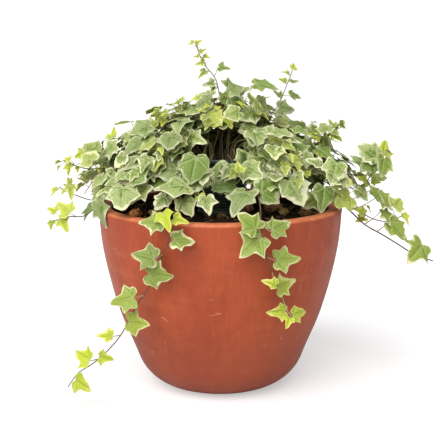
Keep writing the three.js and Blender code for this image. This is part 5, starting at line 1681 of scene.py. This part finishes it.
class IVY_OT_nursery(bpy.types.Operator):
    """Turns the ribbed nursery pot and fills it with soil"""

    bl_idname = "ivy.nursery"
    bl_label = "Nursery pot"

    def execute(self, context):
        settings, mulch = context.scene.ivy_nursery, context.scene.ivy_mulch
        base, top = NURSERY_BASE, NURSERY_BASE + NURSERY_HEIGHT
        under = top - NURSERY_LIP
        low, high, lip, thick = NURSERY_LOW, NURSERY_HIGH, NURSERY_RADIUS, NURSERY_WALL
        profile = [(radius, base + height) for radius, height in NURSERY_FOOT]
        profile.append((low, base + NURSERY_FOOT_HEIGHT))
        for part in np.linspace(0.04, 0.97, 24):
            profile.append((low + (high - low) * part, base + NURSERY_FOOT_HEIGHT
                            + (under - base - NURSERY_FOOT_HEIGHT) * part))
        profile += [(high, under - 0.0004), (high + 0.0008, under), (lip - 0.0006, under),
                    (lip, under + 0.0006), (lip, top - 0.0014), (lip - 0.0005, top - 0.0004),
                    (lip - 0.0014, top), (lip - 0.0022, top - 0.0004),
                    (lip - 0.0026, top - 0.0016), (high - thick + 0.0006, under),
                    (high - thick, under - 0.002), (low - thick, base + 0.004),
                    (low - thick - 0.001, base + 0.002), (0.0, base + 0.002)]
        plastic = plastic_finish(settings)
        wall = turned("nursery_wall", profile, POT_SEGMENTS, plastic, 0.0003, 9.0)
        piece = grown(wall, rib_tree(), {
            "Count": settings.ribs, "Lowest": base + 0.007, "Highest": under - 0.003,
            "Low radius": low + 0.0003, "High radius": high - 0.0001,
            "Width": settings.rib_width, "Segments": POT_SEGMENTS, "Finish": plastic},
            "nursery_pot")
        hand_over(piece, "green_plastic", "nursery_pot")

        def level(radius, lump):
            sink = 0.0012 * (radius / NURSERY_SOIL_EDGE) ** 4
            return NURSERY_SOIL - 0.0002 - sink + lump

        rings = np.linspace(0.002, NURSERY_SOIL_EDGE, 18)
        sides = [(NURSERY_SOIL_EDGE - 0.0004, top - 0.012), (low - thick - 0.0012, base + 0.0026)]
        soil = soil_finish("Potting soil", mulch.pale_bark, tone(30, 22, 17), tone(54, 40, 30))
        crumbs = bark_finish("Soil crumbs", tone(44, 32, 24), tone(120, 92, 66), True)
        bed = uneven_bed("nursery_soil", rings, level, sides, SOIL_LUMP_HEIGHT, 8.0, soil)
        piece = scattered(bed, "nursery_soil", 17, crumbs, Density=60000.0, Smallest=0.0014,
                          Largest=0.0065, Lowest_level=NURSERY_SOIL - 0.006, Seed=21)
        hand_over(piece, "potting_soil", "nursery_soil")
        return {"FINISHED"}


class IVY_OT_runners(bpy.types.Operator):
    """Grows every runner and shoot where the frame has it"""

    bl_idname = "ivy.runners"
    bl_label = "Runners"

    def execute(self, context):
        settings = context.scene.ivy_plant
        shapes = leaf_collection()
        tree = runner_tree()
        leaf, stem = leaf_finish(settings), stem_finish(settings)
        for index, name in enumerate(RUNNERS):
            lines = runner_lines(name, settings, np.random.default_rng(100 + index))
            piece = grown(lines.object(name), tree, {
                "Leaves": shapes, "Sides": settings.sides, "Step": settings.step,
                "Bend": settings.bend, "Leaf finish": leaf, "Stem finish": stem}, name + "_foliage")
            hand_over(piece, "ivy", name)
        drop_collection(shapes)
        return {"FINISHED"}


class IVY_OT_studio(bpy.types.Operator):
    """Sets up the pale floor, the soft light and the camera"""

    bl_idname = "ivy.studio"
    bl_label = "Studio"

    def execute(self, context):
        settings = context.scene.ivy_studio
        scene = context.scene
        scene.view_settings.view_transform = "Standard"
        white = (1.0, 1.0, 1.0, 1.0)

        corners = [(x * FLOOR_HALF, y * FLOOR_HALF, 0)
                   for x, y in ((-1, -1), (1, -1), (1, 1), (-1, 1))]
        floor = lay_out("studio_floor", corners, [(0, 1, 2, 3)])
        material, nodes, shader, _ = open_material("Studio floor")
        speck = nodes.span(nodes.noise(here(nodes), 3.0, 2.0), 0.3, 0.7)
        pale = [min(1.0, value * 1.02) for value in settings.floor]
        seen = nodes.add("ShaderNodeLightPath").outputs["Is Camera Ray"]
        for socket, value in (
                ("Base Color", nodes.mix(speck, rgba(settings.floor), rgba(pale))),
                ("Roughness", 0.9), ("Emission Color", white),
                ("Emission Strength", nodes.times(seen, FLOOR_GLOW))):
            nodes.feed(shader.inputs[socket], value)
        floor.data.materials.append(material)
        floor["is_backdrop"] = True

        world = bpy.data.worlds.new("Studio")
        world.use_nodes = True
        world.node_tree.nodes.clear()
        nodes = Nodes(world.node_tree)
        seen = nodes.add("ShaderNodeLightPath").outputs["Is Camera Ray"]
        around_it, behind_it = (
            nodes.add("ShaderNodeBackground", {"Color": white, "Strength": strength}).outputs[0]
            for strength in (settings.fill, BACKDROP))
        mixed = nodes.add("ShaderNodeMixShader", {0: seen, 1: around_it, 2: behind_it})
        nodes.add("ShaderNodeOutputWorld", {"Surface": mixed.outputs[0]})
        scene.world = world

        key = bpy.data.lights.new("key", "SUN")
        key.energy = settings.key
        key.angle = settings.key_spread
        turn = Vector(KEY_TOWARDS).to_track_quat("-Z", "Y")
        put_down("key", key).rotation_euler = turn.to_euler()

        camera = bpy.data.cameras.new("camera")
        camera.lens = settings.lens
        camera.sensor_width = SENSOR_WIDTH
        camera.clip_end = 100
        eye = put_down("camera", camera)
        eye.location = EYE
        eye.rotation_euler = (math.radians(90 - LOOKS_DOWN), 0, 0)
        scene.camera = eye
        return {"FINISHED"}


OPERATORS = (IVY_OT_planter, IVY_OT_mulch, IVY_OT_bark, IVY_OT_nursery, IVY_OT_runners,
             IVY_OT_studio)


class IVY_PT_sidebar(bpy.types.Panel):
    """Lists what the potted ivy is made of"""

    bl_label = "Potted Ivy"
    bl_idname = "IVY_PT_sidebar"
    bl_space_type = "VIEW_3D"
    bl_region_type = "UI"
    bl_category = "Potted Ivy"

    def draw(self, context):
        for operator in OPERATORS:
            self.layout.operator(operator.bl_idname)


SETTINGS = {"ivy_planter": PlanterSettings, "ivy_mulch": MulchSettings,
            "ivy_nursery": NurserySettings, "ivy_plant": IvySettings, "ivy_studio": StudioSettings}


def register():
    for group in SETTINGS.values():
        bpy.utils.register_class(group)
    for label, group in SETTINGS.items():
        setattr(bpy.types.Scene, label, bpy.props.PointerProperty(type=group))
    for operator in (*OPERATORS, IVY_PT_sidebar):
        bpy.utils.register_class(operator)


def unregister():
    for operator in (IVY_PT_sidebar, *reversed(OPERATORS)):
        bpy.utils.unregister_class(operator)
    for label, group in reversed(SETTINGS.items()):
        delattr(bpy.types.Scene, label)
        bpy.utils.unregister_class(group)


def plain(box):
    """A box of vectors as plain lists of numbers."""
    return [[float(value) for value in corner] for corner in box]


def main():
    register()
    for operator in OPERATORS:
        family, name = operator.bl_idname.split(".")
        getattr(getattr(bpy.ops, family), name)()
    {"cad": plain(CAD_BOX), "visual": plain(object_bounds())}


if __name__ == "__main__":
    main()
